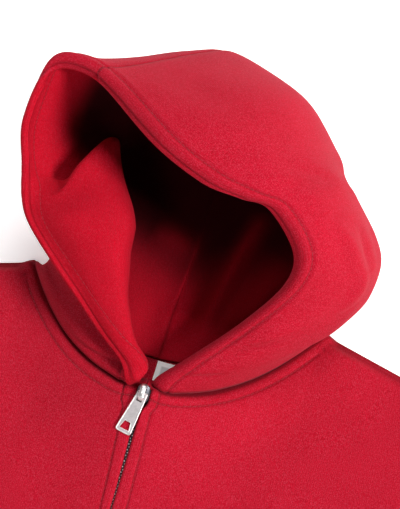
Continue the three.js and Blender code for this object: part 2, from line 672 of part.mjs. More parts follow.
add("zip_tape_left", zipStrip(tape.inner, tape.outer, tape.thick, 1), zipCloth());
add("zip_tape_right", zipStrip(-tape.outer, -tape.inner, tape.thick, 1), zipCloth());
add("zip_chain", zipStrip(-chain.half, chain.half, chain.thick, 0), darkSteel());

// The slider stands on the chain at the top of the zip, tilted with it.
const sliderY = -slider.length / 2 - slider.drop;
const [lowerEnd, upperEnd] = [sliderY - slider.length / 2, sliderY + slider.length / 2];
const slope = (frontHeight(0, upperEnd) - frontHeight(0, lowerEnd)) / slider.length;
const chainTop = frontHeight(0, sliderY) - fleece / 2 - zipClearance;
const sliderSeat = new THREE.Group();
sliderSeat.position.set(0, sliderY, chainTop + slider.lift + slider.thick);
sliderSeat.rotation.x = Math.atan(slope);
garment.add(sliderSeat);
add("slider", sliderGeometry(), steel(), sliderSeat);

// The pull tab hangs on the bridge, askew, and its end lies down on the wearer's right front.
const tabBar = sliderSeat.position.clone().add(vec(tabHang.x, tabHang.y, tabHang.z));
const skew = THREE.MathUtils.degToRad(tab.skew);
const tabEnd = vec(-Math.sin(skew), -Math.cos(skew), 0).multiplyScalar(tab.length).add(tabBar);
const tabFloor = frontHeight(tabEnd.x, tabEnd.y) + fleece / 2 + tab.thick / 2 + 3 * seamGap;
const tabSeat = new THREE.Group();
tabSeat.position.copy(tabBar);
tabSeat.rotation.set(Math.asin((tabBar.z - tabFloor) / tab.length), 0, -skew, "ZYX");
garment.add(tabSeat);
add("pull_tab", tabGeometry(), steel(), tabSeat);

// The blank label lies on the back below the neck seam, off the centre.
const labelGeometry = new THREE.BoxGeometry(label.width, label.length, label.thick);
const labelMesh = add("label", labelGeometry, labelCloth());
const labelY = backNeckY - label.drop - label.length / 2;
labelMesh.position.set(label.x, labelY, fleece + seamGap + label.thick / 2);

export default garment;
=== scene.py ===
import math
import bpy
import numpy as np
from mathutils import Matrix, Vector


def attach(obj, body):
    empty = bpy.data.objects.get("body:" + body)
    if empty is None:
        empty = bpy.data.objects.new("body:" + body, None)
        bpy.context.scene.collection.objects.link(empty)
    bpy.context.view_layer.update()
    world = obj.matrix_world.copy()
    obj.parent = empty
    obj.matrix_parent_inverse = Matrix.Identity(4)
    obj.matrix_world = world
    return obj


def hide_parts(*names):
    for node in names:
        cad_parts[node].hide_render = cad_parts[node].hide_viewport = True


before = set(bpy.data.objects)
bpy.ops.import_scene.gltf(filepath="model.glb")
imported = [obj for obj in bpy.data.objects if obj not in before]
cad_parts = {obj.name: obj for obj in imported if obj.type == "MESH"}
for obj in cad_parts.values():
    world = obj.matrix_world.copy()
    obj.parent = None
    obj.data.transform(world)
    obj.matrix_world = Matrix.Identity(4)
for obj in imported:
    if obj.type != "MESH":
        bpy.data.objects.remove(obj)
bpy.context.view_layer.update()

# A child's zip-through hooded sweatshirt lying on its back. The scene is in metres; the tables and
# sizes below are in mm and become metres in meshFrom. x to the wearer's left, y to the hood, z up.
mm = 0.001

cloth = {"fleece": 2.0, "lining": 1.2, "rib": 1.9, "seamGap": 0.3, "liningGap": 0.35, "rest": 1.0}
body = {"chestHalf": 218, "hemHalf": 198, "hemY": -430, "underarmY": -150, "shoulder": (188, 37),
        "neckPoint": (91, 65), "backNeckY": 25, "layer": 3.6, "zipHeight": 5.2, "neckRise": 16.8,
        "riseLength": 45, "edgeTuck": 3.2, "edgeDrop": 1.2, "zipReach": 30, "neckEndRise": 3.4,
        "shoulderReach": 60, "neckSeat": 1.7, "zipSlit": 1.2, "sideShare": 0.56}
sleeve = {"length": 430, "angle": 55, "wrist": 78, "fullness": 22, "top": 4.4, "ease": 260,
          "gap": 0.5, "underarmGap": 3}
cuff = {"width": 74, "length": 55, "gap": 0.3, "bow": 2}
band = {"half": 194, "height": 55, "gap": 0.3, "spread": 4}
slider = {"width": 7.4, "length": 10.5, "thick": 3.1, "drop": 1.4, "lift": 0.4}


# Curves, grids and folds

def through(points):  # a smooth curve through the first axis of points; takes shares from 0 to 1
    p = np.asarray(points, float)
    p = np.concatenate([2 * p[:1] - p[1:2], p, 2 * p[-1:] - p[-2:-1]])
    spans = len(p) - 3

    def curve(t):
        x = np.clip(np.atleast_1d(np.asarray(t, float)), 0, 1) * spans
        k = np.minimum(x.astype(int), spans - 1)
        f = (x - k).reshape(-1, *[1] * (p.ndim - 1))
        a, b, c, d = (p[k + i] for i in range(4))
        return 0.5 * (2 * b + (c - a) * f + (2 * a - 5 * b + 4 * c - d) * f ** 2
                      + (3 * b - a - 3 * c + d) * f ** 3)
    return curve


def smooth(x, low, high):
    t = np.clip((np.asarray(x, float) - low) / (high - low), 0, 1)
    return t * t * (3 - 2 * t)


def unit(v):
    return v / np.maximum(np.linalg.norm(v, axis=-1, keepdims=True), 1e-9)


def normalsOf(grid, ring=False):
    across = np.roll(grid, -1, 1) - np.roll(grid, 1, 1) if ring else np.gradient(grid, axis=1)
    return unit(np.cross(across, np.gradient(grid, axis=0)))


def softened(field, passes):  # each value averaged with its neighbours' in the grid
    for _ in range(passes):
        wide = np.pad(field, ((1, 1), (1, 1), (0, 0)), mode="edge")
        field = unit(2 * field + wide[:-2, 1:-1] + wide[2:, 1:-1] + wide[1:-1, :-2] + wide[1:-1, 2:])
    return field


def foldHeight(folds, x, y):  # what a table of soft ridges adds at each place
    total = np.zeros(np.broadcast(x, y).shape)
    for fold in folds:
        (x0, y0), (x1, y1) = fold["from"], fold["to"]
        along = np.array([x1 - x0, y1 - y0], float)
        share = np.clip(((x - x0) * along[0] + (y - y0) * along[1]) / (along @ along), 0, 1)
        off = np.hypot(x - x0 - share * along[0], y - y0 - share * along[1])
        fade = 1 - share ** 2 if not fold.get("even") else 4 * share * (1 - share)
        total += fold["high"] * fade * np.exp(-(off / fold["wide"]) ** (1 if fold.get("sharp") else 2))
    return total


def runOf(line):  # the length along a polyline at each of its points
    steps = np.linalg.norm(np.diff(line, axis=0), axis=1)
    return np.concatenate([[0], np.cumsum(steps)])


def facing(side, *fields):  # the right half's grids run the other way, so that they face out too
    return fields if side > 0 else tuple(field[:, ::-1] for field in fields)


def distanceTo(line, x, y):  # plan distance of each place from a polyline
    flat = np.stack([np.ravel(x), np.ravel(y)], 1)
    best = np.full(len(flat), 1e9)
    for a, b in zip(line[:-1, :2], line[1:, :2]):
        ab = b - a
        t = np.clip(((flat - a) @ ab) / max(ab @ ab, 1e-9), 0, 1)
        best = np.minimum(best, np.linalg.norm(flat - a - t[:, None] * ab, axis=1))
    return best.reshape(np.shape(x))


def groove(d, at, depth, wide=0.9):
    return -depth * np.exp(-((d - at) / wide) ** 2)


# Meshes

def meshFrom(name, verts, faces, marks=None, rides="garment", angle=None):
    mesh = bpy.data.meshes.new(name)
    mesh.from_pydata((np.asarray(verts).reshape(-1, 3) * mm).tolist(), [], faces)
    mesh.update()
    if marks is not None:  # place on the cloth in metres, then the depth in a seam, where seam shade is painted, and below 0 painted shade deep in the hood
        layer = mesh.attributes.new("cloth", "FLOAT_VECTOR", "POINT")
        layer.data.foreach_set("vector", (np.asarray(marks) * [mm, mm, 1]).astype(np.float32).ravel())
    piece = bpy.data.objects.new(name, mesh)
    bpy.context.scene.collection.objects.link(piece)
    mesh.polygons.foreach_set("use_smooth", [True] * len(mesh.polygons))
    if angle:
        bpy.ops.object.select_all(action="DESELECT")
        piece.select_set(True)
        bpy.context.view_layer.objects.active = piece
        bpy.ops.object.shade_smooth_by_angle(angle=math.radians(angle))
    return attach(piece, rides)


def wall(name, outer, inner, marks, ring=False):  # a closed cloth between two grids of points
    rows, columns = outer.shape[:2]
    ids = np.arange(2 * rows * columns).reshape(2, rows, columns)
    if ring:
        ids = np.concatenate([ids, ids[:, :, :1]], axis=2)
    top, low = ids
    faces = [np.stack([top[:-1, :-1], top[:-1, 1:], top[1:, 1:], top[1:, :-1]], -1).reshape(-1, 4),
             np.stack([low[:-1, :-1], low[1:, :-1], low[1:, 1:], low[:-1, 1:]], -1).reshape(-1, 4)]

    def rim(a, b):
        faces.append(np.stack([a[1:], a[:-1], b[:-1], b[1:]], -1))
    rim(top[0], low[0])
    rim(top[-1][::-1], low[-1][::-1])
    if not ring:
        rim(top[:, 0][::-1], low[:, 0][::-1])
        rim(top[:, -1], low[:, -1])
    verts = np.concatenate([outer.reshape(-1, 3), inner.reshape(-1, 3)])
    both = np.concatenate([marks.reshape(-1, 3)] * 2)
    return meshFrom(name, verts, np.concatenate(faces).tolist(), both)


def clothWall(name, grid, normals, thick, marks, relief=0.0, ring=False, under=0.0):
    half = thick / 2
    outer = grid + normals * (half + np.asarray(relief))[..., None]
    inner = grid - normals * (half + np.asarray(under))[..., None]
    outer[..., 2] = np.maximum(outer[..., 2], 0)
    inner[..., 2] = np.maximum(inner[..., 2], 0)
    return wall(name, outer, inner, marks, ring)


def lofted(name, grid, marks=None, rides="garment", angle=None):  # closed rings joined up, with flat ends
    n, around = grid.shape[:2]
    ids = np.arange(n * around).reshape(n, around)
    ids = np.concatenate([ids, ids[:, :1]], axis=1)
    faces = np.stack([ids[:-1, :-1], ids[:-1, 1:], ids[1:, 1:], ids[1:, :-1]], -1).reshape(-1, 4).tolist()
    faces += [ids[0, :-1][::-1].tolist(), ids[-1, :-1].tolist()]
    return meshFrom(name, grid, faces, marks, rides=rides, angle=angle)


def tube(name, centres, sideways, upwards, wide, high, around=14, rides="garment"):
    # an oval tube along centres, with closed round ends
    angles = np.linspace(0, 2 * math.pi, around, endpoint=False)
    n = len(centres)
    fromEnd = np.minimum(np.minimum(np.arange(n), np.arange(n)[::-1]), 3) / 3
    ends = np.sqrt(np.clip(1 - (1 - fromEnd) ** 2, 0.05, 1))[:, None, None]
    grid = (centres[:, None] + ends * (sideways[:, None] * (wide * np.cos(angles))[None, :, None]
                                       + upwards[:, None] * (high * np.sin(angles))[None, :, None]))
    marks = np.zeros((n, around, 3))
    marks[..., 0] = angles * wide
    marks[..., 1] = runOf(centres)[:, None]
    return lofted(name, grid, marks.reshape(-1, 3), rides)


def respaced(line, pitch):  # points at an even pitch along a polyline, with the way it runs there
    run = runOf(line)
    at = np.arange(pitch / 2, run[-1] - pitch / 2, pitch)
    points = np.stack([np.interp(at, run, line[:, k]) for k in range(3)], 1)
    ahead = np.stack([np.interp(at + 0.4, run, line[:, k]) for k in range(3)], 1)
    return points, unit(ahead - points), at, run


stitchLook = {"pitch": 3.0, "long": 2.3, "thick": 0.26, "lift": -0.02}


def stitches(name, lines):  # thread in short slightly sunken bars, all lines as one mesh
    long, thick = stitchLook["long"], stitchLook["thick"]
    shape = []
    for along, size in [(-0.5, 0.35), (-0.36, 0.9), (0, 1.1), (0.36, 0.9), (0.5, 0.35)]:
        for k in range(6):
            a = k * math.pi / 3
            shape.append((along * long, size * thick * math.cos(a), size * thick * 0.8 * math.sin(a)))
    shape = np.array(shape)
    quads = [[r * 6 + k, r * 6 + (k + 1) % 6, r * 6 + 6 + (k + 1) % 6, r * 6 + 6 + k]
             for r in range(4) for k in range(6)]
    quads += [[5, 4, 3, 2, 1, 0], [24, 25, 26, 27, 28, 29]]
    verts, faces = [], []
    for line, normals in lines:
        points, ways, at, run = respaced(line, stitchLook["pitch"])
        ups = unit(np.stack([np.interp(at, run, normals[:, k]) for k in range(3)], 1))
        sides = unit(np.cross(ups, ways))
        ups = np.cross(ways, sides)
        for p, w, s, u in zip(points + ups * stitchLook["lift"], ways, sides, ups):
            faces += [[i + len(verts) * 30 for i in q] for q in quads]
            verts.append(p + shape[:, :1] * w + shape[:, 1:2] * s + shape[:, 2:] * u)
    return meshFrom(name, np.concatenate(verts), faces)


# The neck, the armhole and the body's outline

neckline = through([(0, 0, 22), (13, -1, 21.5), (26, 3, 20), (40, 10, 17.5), (55, 21, 14.5), (68, 34, 11.5),
                    (80, 49, 9), (91, 65, 7)])
backNeck = through([(0, 25, 1), (24, 27, 1), (48, 34, 1), (72, 47, 1), (91, 65, 1)])
armhole = through([(218, -150, 0), (199, -132, 0), (184, -95, 0), (177, -45, 0), (181, 0, 0), (188, 37, 0)])
neckCurve = neckline(np.linspace(0, 1, 160))


def besideNeck(share, distance):
    along = neckline(np.minimum(share + 0.01, 1)) - neckline(np.maximum(share - 0.01, 0))
    aside = unit(np.stack([along[:, 1], -along[:, 0], 0 * along[:, 0]], 1))
    return neckline(share) + aside * distance


def bodyPatch(neck, inner, s, t):  # across from the zip to the side (s), up from the hem to the shoulder (t)
    (nx, ny), (sx, sy) = body["neckPoint"], body["shoulder"]

    def flat(x, y):
        return np.stack(np.broadcast_arrays(np.asarray(x, float), np.asarray(y, float)), -1)

    def hem(s):
        return flat(inner + (body["hemHalf"] - inner) * s, body["hemY"])

    def top(s):
        k = 2 * s - 1
        onShoulder = flat(nx + (sx - nx) * k, ny + (sy - ny) * k)
        return np.where((s <= 0.5)[:, None], neck(np.minimum(s * 2, 1))[:, :2], onShoulder)

    def side(t):
        share = body["sideShare"]
        up = np.clip(t / share, 0, 1)
        low = flat(body["hemHalf"] + (body["chestHalf"] - body["hemHalf"]) * up ** 0.4,
                   body["hemY"] + (body["underarmY"] - body["hemY"]) * up)
        return np.where((t > share)[:, None], armhole((t - share) / (1 - share))[:, :2], low)

    ends = np.array([0.0, 1.0])
    (hem0, hem1), (top0, top1) = hem(ends), top(ends)
    middle = flat(inner, body["hemY"] + (top0[1] - body["hemY"]) * t)
    s3, t3 = s[None, :, None], t[:, None, None]
    grid = hem(s)[None] * (1 - t3) + top(s)[None] * t3 + middle[:, None] * (1 - s3) + side(t)[:, None] * s3
    return grid - hem0 * (1 - s3) * (1 - t3) - hem1 * s3 * (1 - t3) - top0 * (1 - s3) * t3 - top1 * s3 * t3


def frontHeight(x, y):
    away = np.abs(x)
    zipRise = (body["zipHeight"] - body["layer"]) * np.exp(-(away / body["zipReach"]) ** 2)
    share = np.minimum(away / body["neckPoint"][0], 1)
    seamY = neckline(share.ravel())[:, 1].reshape(share.shape)
    below = np.maximum(seamY - y, 0)
    high = body["neckRise"] + (body["neckEndRise"] - body["neckRise"]) * share
    outside = 1 - smooth(away, body["neckPoint"][0], body["neckPoint"][0] + body["shoulderReach"])
    return body["layer"] + zipRise + high * outside * np.exp(-(below / body["riseLength"]) ** 2)


# Fronts and back

frontFolds = [
    {"from": (186, -118), "to": (96, -182), "wide": 16, "high": 3.2},
    {"from": (178, -78), "to": (112, -96), "wide": 12, "high": 2.0},
    {"from": (150, -414), "to": (128, -330), "wide": 14, "high": 2.6},
    {"from": (76, -416), "to": (66, -342), "wide": 12, "high": 2.2},
    {"from": (30, -412), "to": (40, -300), "wide": 13, "high": 1.6},
]
smallFolds = {  # light creases that differ from side to side
    "left": [{"from": (40, -6), "to": (96, -44), "wide": 9, "high": 0.9, "even": True},
             {"from": (60, -60), "to": (120, -40), "wide": 13, "high": 0.8, "even": True},
             {"from": (110, -420), "to": (104, -372), "wide": 7, "high": 1.5},
             {"from": (176, -416), "to": (170, -376), "wide": 7, "high": 1.3},
             {"from": (206, -250), "to": (120, -226), "wide": 11, "high": 1.3},
             {"from": (20, -180), "to": (90, -240), "wide": 16, "high": 1.0, "even": True}],
    "right": [{"from": (36, -14), "to": (70, -60), "wide": 10, "high": 0.8, "even": True},
              {"from": (100, 20), "to": (150, -20), "wide": 12, "high": 0.9, "even": True},
              {"from": (52, -420), "to": (48, -366), "wide": 7, "high": 1.4},
              {"from": (132, -418), "to": (140, -372), "wide": 8, "high": 1.3},
              {"from": (210, -214), "to": (130, -264), "wide": 12, "high": 1.5},
              {"from": (24, -250), "to": (84, -206), "wide": 15, "high": 0.9, "even": True}],
}
frontLook = {"topstitch": 6.2, "hemStitch": 4, "puff": 0.45, "grooveDepth": 0.55,
             "edgeRound": 1.3, "across": 215,
             "placketY": (-430, -85, -20, 0),
             "placket": {"left": (8, 9.6, 7.4, 6.4), "right": (8, 5.6, 9.6, 10.6)}}
knitFrom = {"front": 500, "back": 900, "lining": 400}  # where each cloth's knit starts, so that no two match
sliderSpread = {"aside": 2.9, "fade": 6.5, "share": 0.2}
zipClose = {"y": (-430, -95, -60, -36, -16), "in": (1.0, 0.95, 0.75, 0.3, 0), "fade": 6}


def frontPanel(name):
    side = 1 if name == "left" else -1
    s = np.concatenate([np.arange(0, 0.06, 0.0032), np.linspace(0.06, 0.48, 38)[:-1],
                        np.linspace(0.48, 0.985, 42), [0.990, 0.995, 1]])
    t = np.concatenate([np.linspace(0, 0.02, 6)[:-1], np.linspace(0.02, 0.6, 44)[:-1],
                        np.linspace(0.6, 0.96, 44), np.arange(0.965, 0.9995, 0.0018), [1.0]])
    plan = bodyPatch(lambda share: besideNeck(share, body["neckSeat"]), body["zipSlit"], s, t)
    x, y = plan[..., 0].copy(), plan[..., 1]
    fromZip = s[None] * frontLook["across"] + 0 * x
    spread = 1 - smooth(-y, slider["length"], slider["length"] + sliderSpread["fade"])
    spread *= sliderSpread["aside"]
    x += spread * np.maximum(1 - s[None] / sliderSpread["share"], 0)
    x -= np.interp(y, zipClose["y"], zipClose["in"]) * (1 - smooth(fromZip, 0, zipClose["fade"]))
    z = frontHeight(x, y) + foldHeight(frontFolds, x, y) + foldHeight(smallFolds[name], x, y)
    below = (s[None] > 0.9) & (y < body["underarmY"] + 4)
    atShoulder = smooth(s[None] + 0 * y, 0.5, 0.56) * smooth(t[:, None] + 0 * x, 0.985, 1)
    atSide = smooth(s[None] + 0 * y, 0.985, 1)
    turned = np.maximum(atShoulder, atSide)
    z = z * (1 - turned) + np.where(below | (atShoulder > 0), body["layer"] - body["edgeDrop"],
                                    np.minimum(z, body["layer"]) - 0.7) * turned
    grid = np.stack([side * x, y, z], -1)
    fromNeck = distanceTo(neckCurve, x, y) - body["neckSeat"]
    placketAt = np.interp(y, frontLook["placketY"], frontLook["placket"][name])
    d = frontLook["grooveDepth"]
    relief = (groove(fromNeck, frontLook["topstitch"], d) + groove(fromZip, placketAt, d)
              + frontLook["puff"] * np.exp(-((fromNeck - 3.2) / 2.0) ** 2)
              + 0.5 * (1 - smooth(fromZip, placketAt - 1.5, placketAt)) * smooth(fromZip, 0, 1.5)
              - 0.8 * (1 - smooth(fromZip, 0, frontLook["edgeRound"])) - 0.7 * (1 - smooth(fromNeck, 0, 1.2)))
    # painted shade along the topstitch and placket grooves, the turned-under edges and the neck edge under
    # the hood
    seamShade = np.maximum.reduce([np.exp(-((fromNeck - frontLook["topstitch"]) / 0.7) ** 2),
                               np.exp(-((fromZip - placketAt) / 0.7) ** 2), turned,
                               np.exp(-(fromNeck / 1.2) ** 2)])
    marks = np.stack([side * x + knitFrom["front"], y, seamShade], -1)
    grid, relief, marks = facing(side, *allowance(grid, relief, marks, s, side))
    normals = normalsOf(grid)
    piece = clothWall(f"front_{name}_cloth", grid, normals, cloth["fleece"], marks, relief)
    surface = grid + normals * (cloth["fleece"] / 2 + relief)[..., None]
    surface, normals = facing(side, surface[:-3], normals[:-3])
    lines = [lineOn(surface, normals, fromNeck, frontLook["topstitch"], 1, s < 0.49),
             lineOn(surface, normals, fromZip - placketAt, 0, 0, None),
             lineOn(surface, normals, y - body["hemY"] - frontLook["hemStitch"], 0, 1, None)]
    print("front", name, grid.shape)
    return piece, lines


def allowance(grid, relief, marks, s, side):  # the front's edge runs on a little way under the hood's seam
    share = np.minimum(s * 2, 1)
    rows = []
    for aside, drop in ((0.6, 0.9), (-1.2, 1.8), (-4.5, 2.4)):
        neck = besideNeck(share, aside) * [side, 1, 1]
        out = np.clip(2 * s - 1, 0, 1)[:, None]
        beyond = grid[-1] + [0, (body["neckSeat"] - aside) * 0.5, 0]
        row = np.where(out > 0, beyond, neck)
        row[:, 2] = np.maximum(grid[-1][:, 2] - drop, cloth["rest"])
        rows.append(row)
    grid = np.concatenate([grid, np.array(rows)])
    more = [np.concatenate([field] + [field[-1:]] * 3) for field in (relief, marks)]
    more[0][-3:] = -0.4
    # painted shade: the rows under the hood's seam take the full seam colour
    more[1][-3:, :, 2] = 1
    return grid, more[0], more[1]


def lineOn(surface, normals, field, value, along, keep):
    # the level line of a field: one point for each column (along 1) or row (along 0)
    if along == 1:
        surface, normals, field = (np.swapaxes(a, 0, 1) for a in (surface, normals, field))
        surface, normals, field = (a[:, ::-1] for a in (surface, normals, field))
        if keep is not None:
            surface, normals, field = surface[keep], normals[keep], field[keep]
    points, ups = [], []
    for row, up, f in zip(surface, normals, field):
        cross = np.nonzero((f[:-1] - value) * (f[1:] - value) <= 0)[0]
        if len(cross) == 0:
            continue
        i = cross[0]
        k = (value - f[i]) / (f[i + 1] - f[i] + 1e-12)
        points.append(row[i] * (1 - k) + row[i + 1] * k)
        ups.append(up[i])
    return (np.array(points), np.array(ups)) if len(points) > 2 else None


def backPanel():
    half = np.concatenate([np.linspace(0, 0.5, 40), np.linspace(0.5, 1, 30)[1:]])
    t = np.concatenate([np.linspace(0, 0.6, 24)[:-1], np.linspace(0.6, 0.97, 40),
                        np.arange(0.973, 0.9995, 0.004), [1.0]])
    plan = bodyPatch(backNeck, 0, half, t)
    sideTuck = np.where(plan[..., 1] < body["underarmY"] + 5, body["edgeTuck"], 0.3)
    plan[..., 0] -= smooth(half, 0.97, 1)[None] * sideTuck
    plan[..., 1] -= smooth(t, 0.985, 1)[:, None] * np.where(half[None] <= 0.5, 0.1, body["edgeTuck"])
    fromNeck = distanceTo(backNeck(np.linspace(0, 1, 80)), plan[..., 0], plan[..., 1])
    right = plan[:, 1:][:, ::-1] * [-1, 1]
    plan = np.concatenate([right, plan], axis=1)
    fromNeck = np.concatenate([fromNeck[:, 1:][:, ::-1], fromNeck], axis=1)[:, ::-1]
    grid = np.concatenate([plan, np.full(plan.shape[:2] + (1,), cloth["rest"])], -1)[:, ::-1]
    under = 0.35 * np.exp(-((fromNeck - 6) / 3) ** 2)
    # painted shade along the back neck seam
    marks = np.stack([grid[..., 0] + knitFrom["back"], grid[..., 1], np.exp(-(fromNeck / 1.6) ** 2)], -1)
    up = np.broadcast_to(np.array([0, 0, -1.0]), grid.shape)
    piece = clothWall("back_cloth", grid, up, cloth["fleece"], marks, under=under)
    print("back", grid.shape)
    return piece


# Sleeves and ribs

def flatRing(line, shares, top, rest, relief=None, turns=7):  # a flattened tube's ring, with round sides
    start, end = line(np.array([0.0]))[0], line(np.array([1.0]))[0]
    across = unit(np.append((end - start)[:2], 0))
    radius = (top - rest) / 2
    angles = np.radians(np.linspace(90, -90, turns + 2)[1:-1])

    def turn(point, sign):
        out = point + sign * across * radius * np.cos(angles)[:, None]
        out[:, 2] = rest + radius + radius * np.sin(angles)
        return out
    upper = line(shares)
    upper[:, 2] = top + (relief(upper[:, 0], upper[:, 1]) if relief else 0)
    under = line(shares[::-1])
    under[:, 2] = rest
    return np.concatenate([upper, turn(end, 1), under, turn(start, -1)[::-1]])


sleeveFolds = {
    "left": [{"from": (226, -128), "to": (262, -92), "wide": 14, "high": 3.4},
             {"from": (252, -164), "to": (318, -118), "wide": 13, "high": 3.0},
             {"from": (352, -318), "to": (372, -250), "wide": 12, "high": 3.2},
             {"from": (384, -388), "to": (398, -330), "wide": 11, "high": 2.6},
             {"from": (424, -366), "to": (404, -300), "wide": 11, "high": 2.8},
             {"from": (214, -20), "to": (262, -52), "wide": 10, "high": 1.3, "even": True},
             {"from": (300, -210), "to": (350, -190), "wide": 8, "high": 1.6, "even": True},
             {"from": (398, -372), "to": (382, -330), "wide": 6, "high": 1.6},
             {"from": (410, -352), "to": (398, -318), "wide": 6, "high": 1.4}],
    "right": [{"from": (226, -128), "to": (262, -92), "wide": 14, "high": 3.2},
              {"from": (252, -164), "to": (318, -118), "wide": 13, "high": 3.0},
              {"from": (352, -318), "to": (372, -250), "wide": 12, "high": 3.2},
              {"from": (384, -388), "to": (398, -330), "wide": 11, "high": 2.6},
              {"from": (424, -366), "to": (404, -300), "wide": 11, "high": 2.8},
              {"from": (206, 10), "to": (240, -40), "wide": 10, "high": 1.2, "even": True},
              {"from": (290, -170), "to": (330, -200), "wide": 8, "high": 1.5, "even": True},
              {"from": (392, -376), "to": (376, -338), "wide": 6, "high": 1.5},
              {"from": (416, -346), "to": (402, -316), "wide": 6, "high": 1.5}],
}
angle = math.radians(sleeve["angle"])
sleeveAxis = np.array([math.cos(angle), -math.sin(angle), 0])
sleeveAcross = np.array([-math.sin(angle), -math.cos(angle), 0])
wristTop = np.array([*body["shoulder"], 0]) + sleeveAxis * sleeve["length"]


def sleeveLine(share):
    def line(t):
        t = np.asarray(t, float)
        wrist = wristTop + sleeveAcross * (sleeve["wrist"] * t)[:, None]
        cap = armhole(1 - t)
        cap[:, 0] += sleeve["gap"] + sleeve["underarmGap"] * smooth(t, 0.88, 1)
        point = cap * (1 - share) + wrist * share
        full = sleeve["fullness"] * math.sin(math.pi * share ** 3)
        ease = sleeve["ease"] * share * (1 - share) ** 3
        return point + sleeveAcross * (full * (t - 0.5) - ease * np.sin(math.pi * t * t))[:, None]
    return line


def sleeveTube(name):
    side = 1 if name == "left" else -1
    shares = np.concatenate([np.linspace(0, 0.9, 44)[:-1], np.linspace(0.9, 1, 8)])
    rows = np.concatenate([[0, 0.004, 0.010, 0.02, 0.035], np.linspace(0.05, 0.97, 72), [0.985, 1]])
    folds = sleeveFolds[name]
    rings = [flatRing(sleeveLine(share), shares, sleeve["top"], cloth["rest"],
                      lambda x, y: foldHeight(folds, x, y) * (1 - smooth(share, 0.9, 1)))
             for share in rows]
    grid = np.array(rings) * [side, 1, 1]
    run = runOf(grid[0])
    atCap = np.exp(-(rows[:, None] * sleeve["length"] / 1.6) ** 2)
    atCuff = np.exp(-((1 - rows[:, None]) * sleeve["length"] / 2.0) ** 2)
    relief = -(0.8 * atCap + 0.5 * atCuff) + 0 * grid[..., 2]
    gather = 0.5 * smooth(rows, 0.86, 1)[:, None] * np.sin(run[None] * 1.1 + 3 * np.sin(run[None] * 0.31))
    relief = relief + gather * (grid[..., 2] > 2.2)
    # painted shade at the cap and cuff seams
    marks = np.stack([np.broadcast_to(run[None], relief.shape), rows[:, None] * sleeve["length"] + 0 * relief,
                      np.maximum(atCap, atCuff) + 0 * relief], -1)
    grid, relief, marks = facing(side, grid, relief, marks)
    normals = normalsOf(grid, True)
    piece = clothWall(f"sleeve_{name}_cloth", grid, normals, cloth["fleece"], marks, relief, ring=True)
    print("sleeve", name, grid.shape)
    return piece


ribLook = {"pitch": 3.1, "high": 0.75, "points": 6, "below": 0.3, "seamWide": 1.5,
           "thick": cloth["rib"] - 0.4}


def ribbed(grid, rows, length, straight, level):  # rounded ribs and marks; straight: a row to measure along
    run = runOf(grid[straight])[None] + 0 * grid[..., 2]
    ends = np.exp(-(np.maximum(rows, 0) * length / ribLook["seamWide"]) ** 2)[:, None]
    wave = 0.5 + 0.5 * np.cos(2 * math.pi * run / ribLook["pitch"])
    high = ribLook["high"] * (wave ** 0.6 - 0.4) * np.where(grid[..., 2] > level, 1, ribLook["below"])
    relief = high * (1 - 0.7 * ends) - 0.6 * ends
    # the third mark paints seam shade at the rib's seamed end
    return relief, np.stack([run, rows[:, None] * length + 0 * run, ends + 0 * run], -1)


def cuffTube(name):
    side = 1 if name == "left" else -1
    shares = np.linspace(0, 1, int(cuff["width"] / ribLook["pitch"] * ribLook["points"]))
    start = wristTop + sleeveAcross * (sleeve["wrist"] - cuff["width"]) / 2
    rows = np.concatenate([[-0.05, 0, 0.015, 0.04], np.linspace(0.08, 0.9, 12), [0.95, 0.98, 1]])
    rings = []
    for share in rows:  # the first row is tucked into the sleeve
        tucked = share < 0
        bow = cuff["bow"] * math.sin(math.pi * share) - 2.0 * tucked
        edge = start + sleeveAxis * (cuff["gap"] + cuff["length"] * share) - sleeveAcross * bow
        rings.append(flatRing(lambda t: edge + sleeveAcross * ((cuff["width"] + 2 * bow) * t)[:, None],
                              shares, sleeve["top"] - 0.2 - 0.9 * tucked, cloth["rib"] / 2))
    grid = np.array(rings) * [side, 1, 1]
    relief, marks = ribbed(grid, rows, cuff["length"], 5, 1.6)
    grid, relief, marks = facing(side, grid, relief, marks)
    normals = normalsOf(grid, True)
    piece = clothWall(f"cuff_{name}_rib", grid, normals, ribLook["thick"], marks, relief, ring=True)
    print("cuff", name, grid.shape)
    return piece


def waistbandStrip():
    count = int(band["half"] / ribLook["pitch"] * ribLook["points"])
    rows = np.concatenate([[0, 0.015, 0.04], np.linspace(0.08, 0.92, 9), [0.96, 0.985, 1]])
    rest = cloth["rib"] / 2
    radius = (body["layer"] - rest) / 2
    angles = np.radians(np.linspace(90, -90, 9)[1:-1])
    strips = []
    for share in rows:
        y = body["hemY"] - band["gap"] - band["height"] * share
        half = band["half"] + band["spread"] * share
        x = np.linspace(body["zipSlit"], half, count)
        left = np.stack([x, 0 * x + y, frontHeight(x, 0 * x + y)], 1)
        turn = np.stack([half + radius * np.cos(angles), 0 * angles + y,
                         rest + radius * (1 + np.sin(angles))], 1)
        back = np.linspace(half, -half, 2 * count)
        back = np.stack([back, 0 * back + y, 0 * back + rest], 1)
        mirrored = [(part * [-1, 1, 1])[::-1] for part in (turn, left)]
        strips.append(np.concatenate([left, turn, back, *mirrored]))
    grid = np.array(strips)[:, ::-1]
    relief, marks = ribbed(grid, rows, band["height"], 4, 1.8)
    piece = clothWall("waistband_rib", grid, normalsOf(grid), ribLook["thick"], marks, relief)
    print("waistband", grid.shape)
    return piece


# The hood: a row for each section from the neck seam to the top seam, each from the front edge over
# the side and along the surface to the centre back seam

